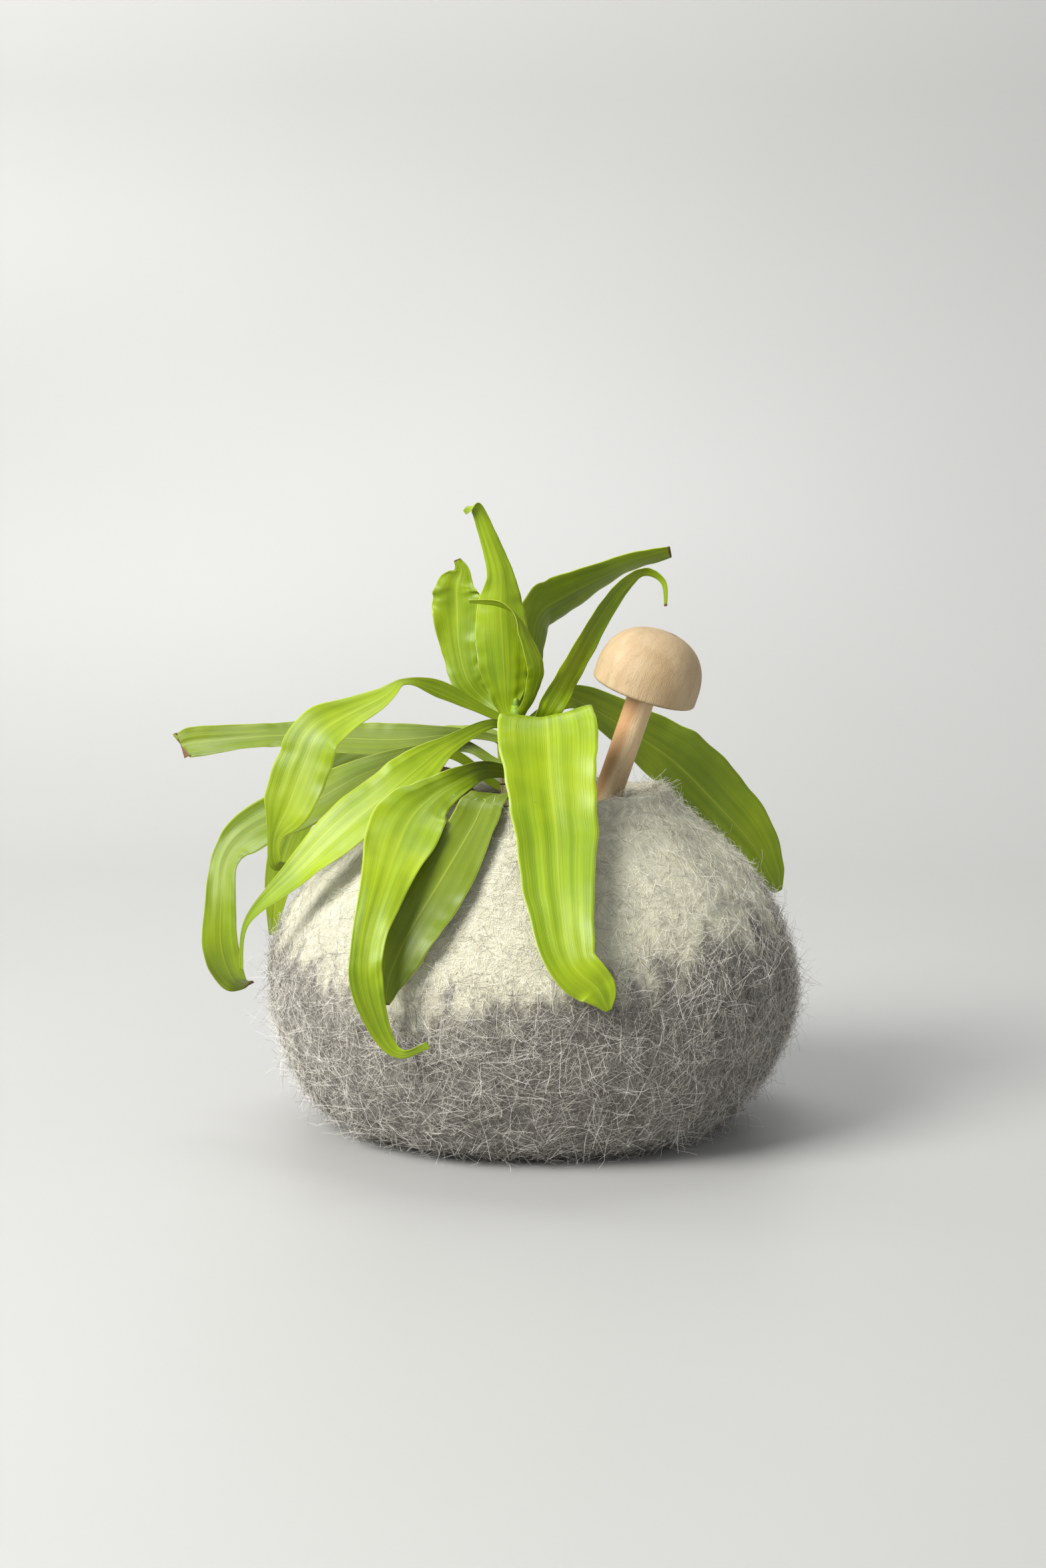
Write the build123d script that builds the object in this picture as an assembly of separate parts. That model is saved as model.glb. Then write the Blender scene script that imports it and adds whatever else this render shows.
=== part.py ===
from build123d import *
import math
import os

# A felted wool cover pot, wide and low like a beach pebble. A saucer and a nursery pot stand in it, with a
# leafy cane plant in potting mix and a turned wooden mushroom pushed into the mix.
# Millimetres, +Z up, origin at the centre of the felt's flat underside. The front looks along -Y.

# ---- felt vessel ----
VESSEL_DIAMETER = 240.0
VESSEL_HEIGHT = 150.0
BASE_DIAMETER = 148.0
BELLY_HEIGHT = 70.0
MOUTH_DIAMETER = 111.0
FELT_WALL = 9.0
FELT_FLOOR = 8.0
LIP_DROP = 11.0
LIP_FLARE = 6.5
SHOULDER_FULLNESS = 25.0

# ---- saucer, nursery pot and potting mix ----
SAUCER_DEPTH = 10.0
SAUCER_WALL = 1.8
SAUCER_GAP = 5.0
POT_BASE_DIAMETER = 76.0
POT_WALL = 1.4
POT_RIM_BAND = 8.0
POT_RIM_THICKNESS = 2.6
POT_MOUTH_GAP = 2.8
POT_RIM_DROP = 12.0
DRAIN_HOLE_DIAMETER = 7.0
DRAIN_HOLE_COUNT = 6
MIX_GAP = 0.2
MIX_EDGE_DROP = 7.0
MIX_MOUND = 9.0

# ---- plant ----
CANE_X = -8.0
CANE_DIAMETER = 14.4
CANE_FOOT_DEPTH = 62.0
CANE_TOP_RISE = 8.0
SHOOT_LENGTH = 38.0
SHOOT_SHOULDER = 0.7
SHOOT_TIP_DIAMETER = 6.0
ROOT_COUNT = 8
ROOT_LENGTH = 30.0
ROOT_DIAMETER = 5.0
ROOT_TIP_DIAMETER = 1.6
ROOT_SLOPE = 50.0
LEAF_THICKNESS = 1.0
LEAF_CHANNEL = 0.14
SECTIONS_PER_STATION = 3

# ---- wooden mushroom ----
CAP_DIAMETER = 48.0
CAP_HEIGHT = 29.0
CAP_EDGE_BAND = 6.0
CAP_EDGE_ROUND = 1.5
STEM_DIAMETER = 12.8
STEM_ABOVE_RIM = 50.0
STEM_BELOW_RIM = 46.0
STEM_CHAMFER = 1.0
TENON_DIAMETER = 9.0
TENON_LENGTH = 10.0
STEM_WALL_GAP = 9.5
STEM_HOLE_GAP = 0.4
MUSHROOM_BEARING = -8.0
MUSHROOM_LEAN = 19.4
MUSHROOM_LEAN_BEARING = -22.0

# ---- sizes that follow from the ones above ----
VESSEL_RADIUS = VESSEL_DIAMETER / 2
BASE_RADIUS = BASE_DIAMETER / 2
MOUTH_RADIUS = MOUTH_DIAMETER / 2
RIM_OUTER_RADIUS = MOUTH_RADIUS + FELT_WALL
NECK_RADIUS = RIM_OUTER_RADIUS + LIP_FLARE
NECK_HEIGHT = VESSEL_HEIGHT - LIP_DROP
POT_BASE_RADIUS = POT_BASE_DIAMETER / 2
POT_RIM_RADIUS = MOUTH_RADIUS - POT_MOUTH_GAP
POT_TOP_RADIUS = POT_RIM_RADIUS - POT_RIM_THICKNESS + POT_WALL
POT_FOOT_HEIGHT = FELT_FLOOR + SAUCER_WALL
POT_RIM_HEIGHT = VESSEL_HEIGHT - POT_RIM_DROP
MIX_EDGE_HEIGHT = POT_RIM_HEIGHT - MIX_EDGE_DROP
MIX_TOP_HEIGHT = MIX_EDGE_HEIGHT + MIX_MOUND
CANE_RADIUS = CANE_DIAMETER / 2
CANE_FOOT_HEIGHT = MIX_TOP_HEIGHT - CANE_FOOT_DEPTH
CANE_TOP_HEIGHT = VESSEL_HEIGHT + CANE_TOP_RISE
STEM_RADIUS = STEM_DIAMETER / 2


def bearing_xy(radius, bearing):
    """Point at a distance from the middle, on a compass bearing counted from +X towards +Y."""
    return radius * math.cos(math.radians(bearing)), radius * math.sin(math.radians(bearing))


# ---------------------------------------------------------------- felt vessel
def shell_controls(inset, floor):
    """Control points of the shell's side: base corner, belly, two shoulder handles and neck."""
    belly = VESSEL_RADIUS - inset
    neck = (NECK_RADIUS - 0.6 * inset, NECK_HEIGHT - 0.8 * inset)
    handle_low = (belly, BELLY_HEIGHT + SHOULDER_FULLNESS)
    handle_high = (neck[0] + SHOULDER_FULLNESS, neck[1] - 0.75 * SHOULDER_FULLNESS)
    return (BASE_RADIUS, floor), (belly, BELLY_HEIGHT), handle_low, handle_high, neck


def shell_line(steps=16):
    """Outer side of the shell from the floor up to the rim, as (radius, height) points."""
    base, belly, low, high, neck = shell_controls(0.0, 0.0)
    line = []
    for i in range(steps):
        turn = math.radians(90 * i / steps)
        line.append((base[0] + (belly[0] - base[0]) * math.sin(turn), belly[1] * (1 - math.cos(turn))))
    for i in range(steps + 1):
        t = i / steps
        weights = ((1 - t) ** 3, 3 * t * (1 - t) ** 2, 3 * t * t * (1 - t), t ** 3)
        spots = (belly, low, high, neck)
        line.append(tuple(sum(w * spot[axis] for w, spot in zip(weights, spots)) for axis in (0, 1)))
    line.append((RIM_OUTER_RADIUS, VESSEL_HEIGHT))
    return line


def shell_radius(height):
    """Radius of the shell's outer side at a height."""
    line = shell_line()
    for (radius_a, height_a), (radius_b, height_b) in zip(line, line[1:]):
        if height_a <= height <= height_b:
            share = (height - height_a) / (height_b - height_a)
            return radius_a + share * (radius_b - radius_a)
    return RIM_OUTER_RADIUS


def shell_side(inset, floor):
    """Edges of one side of the felt wall, in the XZ plane, from the floor corner to the neck."""
    base, belly, low, high, neck = shell_controls(inset, floor)
    middle = (BASE_RADIUS, BELLY_HEIGHT)
    bowl = EllipticalCenterArc(middle, belly[0] - base[0], BELLY_HEIGHT - floor, start_angle=270, arc_size=90)
    shoulder = Bezier(belly, low, high, neck)
    return bowl, shoulder, neck


def felt_vessel():
    """Seamless wall of wet-felted wool, closed below and open at a short upturned lip."""
    outer_bowl, outer_shoulder, outer_neck = shell_side(0.0, 0.0)
    inner_bowl, inner_shoulder, inner_neck = shell_side(FELT_WALL, FELT_FLOOR)
    lip_height = VESSEL_HEIGHT - FELT_WALL / 2
    outline = Wire([
        Line((0, 0), (BASE_RADIUS, 0)),
        *outer_bowl.edges(),
        *outer_shoulder.edges(),
        Line(outer_neck, (RIM_OUTER_RADIUS, lip_height)),
        ThreePointArc((RIM_OUTER_RADIUS, lip_height), (MOUTH_RADIUS + FELT_WALL / 2, VESSEL_HEIGHT),
                      (MOUTH_RADIUS, lip_height)),
        Line((MOUTH_RADIUS, lip_height), inner_neck),
        *inner_shoulder.edges(),
        *inner_bowl.edges(),
        Line((BASE_RADIUS, FELT_FLOOR), (0, FELT_FLOOR)),
        Line((0, FELT_FLOOR), (0, 0)),
    ])
    return revolve(Plane.XZ * make_face(outline.edges()), Axis.Z)


# ---------------------------------------------------------------- saucer, pot and mix
def turned(points):
    """Solid turned about Z from a closed outline of (radius, height) points."""
    return revolve(Plane.XZ * make_face(Polyline(*points, close=True)), Axis.Z)


def drip_saucer():
    """Clear saucer that keeps drips off the wool."""
    foot = POT_BASE_RADIUS + SAUCER_GAP - SAUCER_WALL
    top = POT_BASE_RADIUS + SAUCER_GAP
    return turned([
        (0, FELT_FLOOR), (foot, FELT_FLOOR), (top + SAUCER_WALL, FELT_FLOOR + SAUCER_DEPTH),
        (top, FELT_FLOOR + SAUCER_DEPTH), (foot - SAUCER_WALL, FELT_FLOOR + SAUCER_WALL),
        (0, FELT_FLOOR + SAUCER_WALL),
    ])


def pot_inner_radius(height):
    """Inside radius of the nursery pot at a height: a straight taper."""
    share = (height - POT_FOOT_HEIGHT) / (POT_RIM_HEIGHT - POT_FOOT_HEIGHT)
    return POT_BASE_RADIUS + share * (POT_TOP_RADIUS - POT_BASE_RADIUS) - POT_WALL


def nursery_pot():
    """Thin tapered pot with a rolled rim band and drain holes round the edge of its floor."""
    band = POT_RIM_HEIGHT - POT_RIM_BAND
    floor = POT_FOOT_HEIGHT + POT_WALL
    pot = turned([
        (0, POT_FOOT_HEIGHT), (POT_BASE_RADIUS, POT_FOOT_HEIGHT), (pot_inner_radius(band) + POT_WALL, band),
        (POT_RIM_RADIUS, band), (POT_RIM_RADIUS, POT_RIM_HEIGHT), (pot_inner_radius(POT_RIM_HEIGHT), POT_RIM_HEIGHT),
        (pot_inner_radius(floor), floor), (0, floor),
    ])
    ring = POT_BASE_RADIUS - POT_WALL - DRAIN_HOLE_DIAMETER
    for i in range(DRAIN_HOLE_COUNT):
        x, y = bearing_xy(ring, 360 * i / DRAIN_HOLE_COUNT)
        pot -= Pos(x, y, POT_FOOT_HEIGHT) * Cylinder(DRAIN_HOLE_DIAMETER / 2, 4 * POT_WALL)
    return pot


def potting_mix(buried):
    """Mounded potting mix that fills the pot, with room for everything that is buried in it."""
    floor = POT_FOOT_HEIGHT + POT_WALL
    edge = pot_inner_radius(MIX_EDGE_HEIGHT) - MIX_GAP
    corner = (edge, MIX_EDGE_HEIGHT)
    mound = Bezier(corner, (edge / 2, MIX_TOP_HEIGHT), (0, MIX_TOP_HEIGHT))
    outline = [
        Line((0, floor), (pot_inner_radius(floor) - MIX_GAP, floor)),
        Line((pot_inner_radius(floor) - MIX_GAP, floor), corner),
        *mound.edges(),
        Line((0, MIX_TOP_HEIGHT), (0, floor)),
    ]
    mix = revolve(Plane.XZ * make_face(outline), Axis.Z)
    for piece in buried:
        mix -= piece
    return mix


# ---------------------------------------------------------------- plant
def cane():
    """Bare cane from the roots to just over the rim."""
    length = CANE_TOP_HEIGHT - CANE_FOOT_HEIGHT
    return Pos(CANE_X, 0, CANE_FOOT_HEIGHT + length / 2) * Cylinder(CANE_RADIUS, length)


def shoot():
    """Green growing shoot on top of the cane, which carries the leaves."""
    middle = CANE_TOP_HEIGHT + SHOOT_LENGTH / 2
    return Pos(CANE_X, 0, middle) * Cone(CANE_RADIUS - SHOOT_SHOULDER, SHOOT_TIP_DIAMETER / 2, SHOOT_LENGTH)


def root_strands():
    """Thick roots that spread outwards and down from inside the foot of the cane."""
    spread = []
    for i in range(ROOT_COUNT):
        tier = i % 2
        height = CANE_FOOT_HEIGHT + 6 + 12 * tier
        slope = ROOT_SLOPE + 12 * tier
        strand = Cone(ROOT_DIAMETER / 2, ROOT_TIP_DIAMETER / 2, ROOT_LENGTH)
        strand = Rot(0, 90 + slope, 0) * Pos(0, 0, ROOT_LENGTH / 2 + CANE_RADIUS / 2) * strand
        spread.append(Pos(CANE_X, 0, height) * Rot(0, 0, 360 * i / ROOT_COUNT) * strand)
    return spread


def stem_at_rim():
    """Where the mushroom's stem passes the rim's height, held off the pot's wall."""
    return bearing_xy(pot_inner_radius(POT_RIM_HEIGHT) - STEM_RADIUS - STEM_WALL_GAP, MUSHROOM_BEARING)


def over(x, y, rise, half_width, roll):
    """Leaf station in the air, its height counted from the rim."""
    return x, y, VESSEL_HEIGHT + rise, half_width, roll


def beside(bearing, share, gap, half_width, roll):
    """Leaf station outside the shell, at a share of its height and a gap off its wall."""
    height = share * VESSEL_HEIGHT
    x, y = bearing_xy(shell_radius(height) + gap, bearing)
    return x, y, height, half_width, roll


def off_stem(gap, y, rise, half_width, roll):
    """Leaf station that keeps clear of the mushroom, its x counted back from the stem at the rim."""
    return over(stem_at_rim()[0] - gap, y, rise, half_width, roll)


def on_edge(bearing, share, gap, half_width, roll):
    """Leaf station of a blade that stands on edge, the gap taken off the wall at its lower edge."""
    height = share * VESSEL_HEIGHT
    x, y = bearing_xy(shell_radius(height - half_width) + gap, bearing)
    return x, y, height, half_width, roll


# Each leaf: the way it faces, how far over the rim it leaves the shoot, its half width there, and its
# stations from base to tip. Roll turns the blade about its own line; 0 lies flat across the way it faces.
LEAVES = {
    "leaf_front": (-85, 16, 3.0, [
        over(0, -14, 27, 7, 5), over(5, -32, 38, 18, 5), over(6, -46, 32, 22, 5), over(7, -61, 15, 20, 5),
        beside(-83, 0.95, 9, 18, 5), beside(-84, 0.80, 10, 15, 10), beside(-83, 0.64, 10, 11, 5),
        beside(-78, 0.56, 9, 8, 0), beside(-76, 0.50, 8, 1.5, -5)]),
    "leaf_left_front": (-150, 9, 2.5, [
        over(-22, -22, 13, 4, -80), over(-32, -40, 11, 6, -55), over(-45, -57, 5, 10, -45),
        beside(-127, 0.97, 24, 16, -45), beside(-122, 0.82, 30, 10, -50), beside(-121, 0.67, 26, 7, -55),
        beside(-120, 0.56, 22, 7, -65), beside(-118, 0.42, 15, 4, -70), beside(-115, 0.37, 12.5, 2, -85),
        beside(-110, 0.40, 10, 1.5, -110)]),
    "leaf_front_under": (-115, -4, 3.0, [
        over(-14, -36, 4, 5, 5), over(-21, -57, 4, 9.5, -8), beside(-111, 0.96, 7, 10.6, -10),
        beside(-114, 0.83, 9, 14, -14), beside(-117, 0.70, 9, 12.5, -18), beside(-119, 0.58, 9, 8, -22),
        beside(-119, 0.50, 9, 1.5, -22)]),
    "leaf_left_long": (-155, 27, 1.8, [
        over(-19, -15, 33, 2.2, -75), over(-38, -29, 25, 4.5, -60), over(-51, -38, 16, 9.5, -50),
        over(-66, -45, 4, 11.5, -40), beside(-150, 0.92, 27, 11.5, -35), beside(-154, 0.80, 24, 7, -35),
        beside(-159, 0.66, 25, 1.6, -45), beside(-158, 0.52, 20, 0.8, -60)]),
    "leaf_left_twisted": (-160, 30, 1.8, [
        over(-23, -3, 38, 2.5, -65), over(-43, -8, 48, 4.3, -65), over(-58, -16, 52, 1.8, -45),
        over(-68, -21, 45, 6, -35), over(-93, -30, 32, 12.4, -40), over(-101, -33, 18, 13.4, -50),
        beside(-162, 0.99, 49, 11.5, -55), beside(-163, 0.90, 44, 3.5, -60), beside(-163, 0.82, 30, 3, -65),
        beside(-164, 0.81, 23, 1.4, -75)]),
    "leaf_far_left": (170, 22, 1.8, [
        over(-29, 5, 26, 2.4, -65), over(-61, 10, 23, 7.6, -60), over(-86, 14, 23, 8.1, -55),
        over(-110, 18, 24, 7.1, -50), over(-129, 20, 23, 6.3, -55), over(-157, 24, 20, 7.1, -70),
        over(-163, 24, 18, 6, -70)]),
    "leaf_left_low": (-175, 0, 1.8, [
        over(-18, -1, 4, 2.3, -50), over(-41, -4, 19, 3.3, -50), over(-74, -4, 10, 8.2, -40),
        beside(-176, 0.98, 33, 11.3, -55), beside(-175, 0.89, 50, 10.5, -55), beside(-174, 0.81, 48, 7, -62),
        beside(-171, 0.68, 34, 7.4, -72), beside(-170, 0.55, 24.5, 8.6, -72), beside(-171, 0.45, 17, 7.8, -50),
        beside(-173, 0.43, 9.5, 2.4, -38)]),
    "leaf_left_back": (160, 10, 1.8, [
        over(-19, 4, 14, 2.2, -45), over(-32, 10, 20, 3, -60), over(-55, 24, 19, 7, -60),
        over(-79, 32, 12, 9.3, -60), beside(159, 0.97, 41, 10, -65), beside(160, 0.84, 33, 9, -75),
        beside(161, 0.70, 20, 7.6, -85), beside(162, 0.51, 10, 1.8, -90)]),
    "leaf_back_left": (135, 17, 1.8, [
        over(-19, 11, 25, 2.9, -40), over(-33, 26, 24, 5, -35), over(-50, 45, 19, 8, -25),
        over(-60, 60, 6, 10, -20), beside(133, 0.90, 12, 11, -15), beside(132, 0.70, 11, 9, -10),
        beside(131, 0.52, 10, 5, -5), beside(130, 0.40, 10, 1.5, 0)]),
    "leaf_back": (85, 13, 2.5, [
        over(-5, 26, 22, 7, 0), over(-3, 49, 24, 11, 0), over(-3, 71, 13, 14, 0), beside(92, 0.93, 14, 15, 5),
        beside(92, 0.76, 12, 15, 10), beside(93, 0.57, 10, 12, 10), beside(94, 0.38, 10, 6, 20),
        beside(95, 0.30, 10, 1.2, 0)]),
    "leaf_upright_left": (145, 31, 2.0, [
        over(-21, 11, 40, 4.2, -70), over(-30, 13, 50, 7, -70), over(-34, 16, 65, 8.6, -70),
        over(-35, 18, 84, 11.4, -65), over(-35, 18, 93, 9.4, -65), over(-33, 18, 100, 4, -60),
        over(-35, 18, 105, 1.4, -60)]),
    "leaf_upright_tall": (240, 29, 3.0, [
        over(-12, 1, 38, 5, 12), over(-13, -1, 49, 9.5, 22), over(-14, -2, 65, 11.9, 30), over(-15, -1, 84, 10.6, 30),
        over(-15, 0, 99, 6.2, 35), over(-20, 2, 115, 4.2, 40), over(-26, 3, 129, 2.8, 30),
        over(-31, 0, 127, 1.2, -40)]),
    "leaf_young": (200, 34, 2.0, [
        over(-3, -4, 41, 2.4, 90), over(0, -7, 50, 3.5, 92), over(1, -10, 59, 4.2, 95), over(-4, -12, 73, 3, 110),
        over(-8, -12, 82, 2.2, 160), over(-16, -12, 87, 1.9, 220), over(-29, -12, 88, 0.7, 240)]),
    "leaf_right_narrow": (45, 22, 2.4, [
        over(3, -9, 33, 4.2, 62), over(9, -11, 43, 6, 66), off_stem(15.9, 0, 58, 5.8, 82), over(32, 16, 81, 5, 80),
        over(44, 26, 95, 3.4, 95), over(52, 28, 99, 2.2, 125), over(60, 28, 94, 1.4, 160), over(61, 27, 83, 0.7, 140)]),
    "leaf_right_arching": (40, 32, 2.4, [
        over(-3, 9, 43, 3.6, -100), over(-1, 15, 57, 6.5, -95), over(2, 24, 78, 11.4, -82),
        over(14, 32, 87, 11.9, -70), over(44, 40, 101, 7.8, -50), over(64, 41, 107, 4, -55)]),
    "leaf_right_back": (30, 27, 2.4, [
        over(13, 14, 40, 4.2, 60), over(24, 21, 38, 9.3, 60), over(54, 38, 18, 15.1, 70),
        on_edge(33.3, 1.033, 10.1, 18, 80), on_edge(31, 0.91, 8.6, 17, 88), on_edge(26, 0.80, 8.8, 13.8, 92),
        on_edge(21, 0.70, 7.65, 8, 96), on_edge(19, 0.65, 9.9, 2, 100)]),
    "dried_leaf": (-150, -9, 2.2, [
        over(-22, -10, -3, 3.2, -20), over(-31, -13, 4, 4.4, -45), over(-40, -15, 9, 4.6, -70),
        over(-46, -15, 7, 2.4, -80)]),
}


def along(stations, t):
    """Smooth value through the stations at t, counted in stations: a Catmull-Rom curve."""
    last = len(stations) - 1
    i = min(int(t), last - 1)
    u = t - i
    before = stations[max(i - 1, 0)]
    after = stations[min(i + 2, last)]
    values = []
    for p0, p1, p2, p3 in zip(before, stations[i], stations[i + 1], after):
        bend = 2 * p0 - 5 * p1 + 4 * p2 - p3
        values.append(p1 + 0.5 * u * (p2 - p0 + u * (bend + u * (3 * p1 - p0 - 3 * p2 + p3))))
    return values


def leaf_section(stations, t, facing):
    """Shallow V across the blade at t, square to the leaf's line."""
    x, y, z, half_width, roll = along(stations, t)
    ahead = along(stations, min(t + 0.02, len(stations) - 1))
    behind = along(stations, max(t - 0.02, 0))
    run = Vector(ahead[0] - behind[0], ahead[1] - behind[1], ahead[2] - behind[2]).normalized()
    across_x, across_y = bearing_xy(1, facing + 90)
    flat = Vector(across_x, across_y, 0)
    side = (flat - run * flat.dot(run)).normalized().rotate(Axis((0, 0, 0), run), roll)
    up = run.cross(side)
    half_width = max(half_width, 0.6)
    lift = LEAF_CHANNEL * half_width
    corners = [(-half_width, lift), (0, 0), (half_width, lift)]
    ring = [(s, n + LEAF_THICKNESS / 2) for s, n in corners]
    ring += [(s, n - LEAF_THICKNESS / 2) for s, n in reversed(corners)]
    points = [Vector(x, y, z) + side * s + up * n for s, n in ring]
    return make_face(Polyline(*points, close=True))


def leaf(facing, root_rise, root_half_width, stations, stalk):
    """One blade lofted along its stations and trimmed to the stalk that it grows from."""
    root = over(CANE_X, 0, root_rise, root_half_width, stations[0][4])
    line = [root] + stations
    steps = SECTIONS_PER_STATION * (len(line) - 1)
    sections = [leaf_section(line, i / SECTIONS_PER_STATION, facing) for i in range(steps + 1)]
    trimmed = loft(sections, ruled=True) - stalk
    return max(trimmed.solids(), key=lambda solid: solid.volume)


# ---------------------------------------------------------------- wooden mushroom
def mushroom_frame():
    """Plane at the rim's height where the stem's line passes it, with Z along the stem."""
    lean_x, lean_y = bearing_xy(math.sin(math.radians(MUSHROOM_LEAN)), MUSHROOM_LEAN_BEARING)
    x, y = stem_at_rim()
    return Plane((x, y, VESSEL_HEIGHT), z_dir=(lean_x, lean_y, math.cos(math.radians(MUSHROOM_LEAN))))


def mushroom_stem():
    """Turned stem with a tenon on top for the cap."""
    length = STEM_ABOVE_RIM + STEM_BELOW_RIM
    stem = Pos(0, 0, length / 2 - STEM_BELOW_RIM) * Cylinder(STEM_RADIUS, length)
    stem = chamfer(stem.edges().group_by(Axis.Z)[0], STEM_CHAMFER)
    stem += Pos(0, 0, STEM_ABOVE_RIM + TENON_LENGTH / 2) * Cylinder(TENON_DIAMETER / 2, TENON_LENGTH)
    return mushroom_frame() * stem


def mushroom_cap():
    """Domed cap with a flat underside and a blind hole for the tenon."""
    radius = CAP_DIAMETER / 2
    crown = Bezier((radius, CAP_EDGE_BAND), (radius, CAP_HEIGHT * 0.72), (radius * 0.62, CAP_HEIGHT), (0, CAP_HEIGHT))
    outline = [
        Line((0, 0), (radius - CAP_EDGE_ROUND, 0)),
        ThreePointArc((radius - CAP_EDGE_ROUND, 0), (radius - 0.293 * CAP_EDGE_ROUND, 0.293 * CAP_EDGE_ROUND),
                      (radius, CAP_EDGE_ROUND)),
        Line((radius, CAP_EDGE_ROUND), (radius, CAP_EDGE_BAND)),
        *crown.edges(),
        Line((0, CAP_HEIGHT), (0, 0)),
    ]
    cap = revolve(Plane.XZ * make_face(outline), Axis.Z)
    cap -= Pos(0, 0, TENON_LENGTH / 2) * Cylinder(TENON_DIAMETER / 2, TENON_LENGTH)
    return mushroom_frame() * Pos(0, 0, STEM_ABOVE_RIM) * cap


def stem_hole():
    """Hole that the stem has made in the mix, open upwards."""
    depth = STEM_BELOW_RIM + STEM_HOLE_GAP
    length = depth + STEM_ABOVE_RIM / 2
    return mushroom_frame() * Pos(0, 0, length / 2 - depth) * Cylinder(STEM_RADIUS + STEM_HOLE_GAP, length)


# ---------------------------------------------------------------- assembly
def build():
    """Every node by name."""
    stalk = cane()
    tip = shoot()
    strands = root_strands()
    nodes = {
        "felt_vessel": felt_vessel(),
        "drip_saucer": drip_saucer(),
        "nursery_pot": nursery_pot(),
        "potting_mix": potting_mix([stalk, *strands, stem_hole()]),
        "cane": stalk,
        "roots": Compound(children=[(strand - stalk).solid() for strand in strands]),
        "shoot": tip,
        "mushroom_cap": mushroom_cap(),
        "mushroom_stem": mushroom_stem(),
    }
    holder = stalk + tip
    for name, (facing, root_rise, root_half_width, stations) in LEAVES.items():
        nodes[name] = leaf(facing, root_rise, root_half_width, stations, holder)
    return nodes


if __name__ == "__main__":
    os.makedirs("parts", exist_ok=True)
    for node, shape in build().items():
        export_step(shape, f"parts/{node}.step")
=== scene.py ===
import math

import bpy
from mathutils import Matrix, Vector, noise


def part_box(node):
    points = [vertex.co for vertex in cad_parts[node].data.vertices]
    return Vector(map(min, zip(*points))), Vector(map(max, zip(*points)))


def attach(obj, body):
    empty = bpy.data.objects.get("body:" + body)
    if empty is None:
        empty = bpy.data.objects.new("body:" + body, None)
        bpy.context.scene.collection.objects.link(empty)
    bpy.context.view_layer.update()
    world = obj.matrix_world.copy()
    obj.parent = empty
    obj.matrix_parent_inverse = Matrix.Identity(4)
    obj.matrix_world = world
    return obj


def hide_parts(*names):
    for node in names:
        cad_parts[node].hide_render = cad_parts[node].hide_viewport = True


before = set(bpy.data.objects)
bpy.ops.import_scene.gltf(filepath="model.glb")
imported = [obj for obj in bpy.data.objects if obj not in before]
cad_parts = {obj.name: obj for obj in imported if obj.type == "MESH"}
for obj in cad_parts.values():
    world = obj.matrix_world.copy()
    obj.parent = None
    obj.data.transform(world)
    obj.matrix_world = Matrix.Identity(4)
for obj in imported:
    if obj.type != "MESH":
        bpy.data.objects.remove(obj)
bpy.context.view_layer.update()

MM = 0.001

# ---- sizes shared with the frame, in millimetres ----
VESSEL_RADIUS = 120.0
VESSEL_HEIGHT = 150.0
BASE_RADIUS = 74.0
BELLY_HEIGHT = 70.0
MOUTH_RADIUS = 55.5
FELT_WALL = 9.0
FELT_FLOOR = 8.0
LIP_DROP = 11.0
LIP_FLARE = 6.5
SHOULDER_FULLNESS = 25.0
RIM_OUTER_RADIUS = MOUTH_RADIUS + FELT_WALL
NECK_RADIUS = RIM_OUTER_RADIUS + LIP_FLARE
NECK_HEIGHT = VESSEL_HEIGHT - LIP_DROP
CANE_X = -8.0


# ================================================================ node helpers
class Value:
    """Output of a node that takes plain arithmetic, so that the maths of a material reads as maths."""

    def __init__(self, tree, socket):
        self.tree = tree
        self.socket = socket

    def __add__(self, other):
        return self.tree.math("ADD", self, other)

    def __radd__(self, other):
        return self.tree.math("ADD", other, self)

    def __sub__(self, other):
        return self.tree.math("SUBTRACT", self, other)

    def __rsub__(self, other):
        return self.tree.math("SUBTRACT", other, self)

    def __mul__(self, other):
        return self.tree.math("MULTIPLY", self, other)

    def __rmul__(self, other):
        return self.tree.math("MULTIPLY", other, self)

    def __pow__(self, other):
        return self.tree.math("POWER", self, other)

    def __abs__(self):
        return self.tree.math("ABSOLUTE", self)


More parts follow.
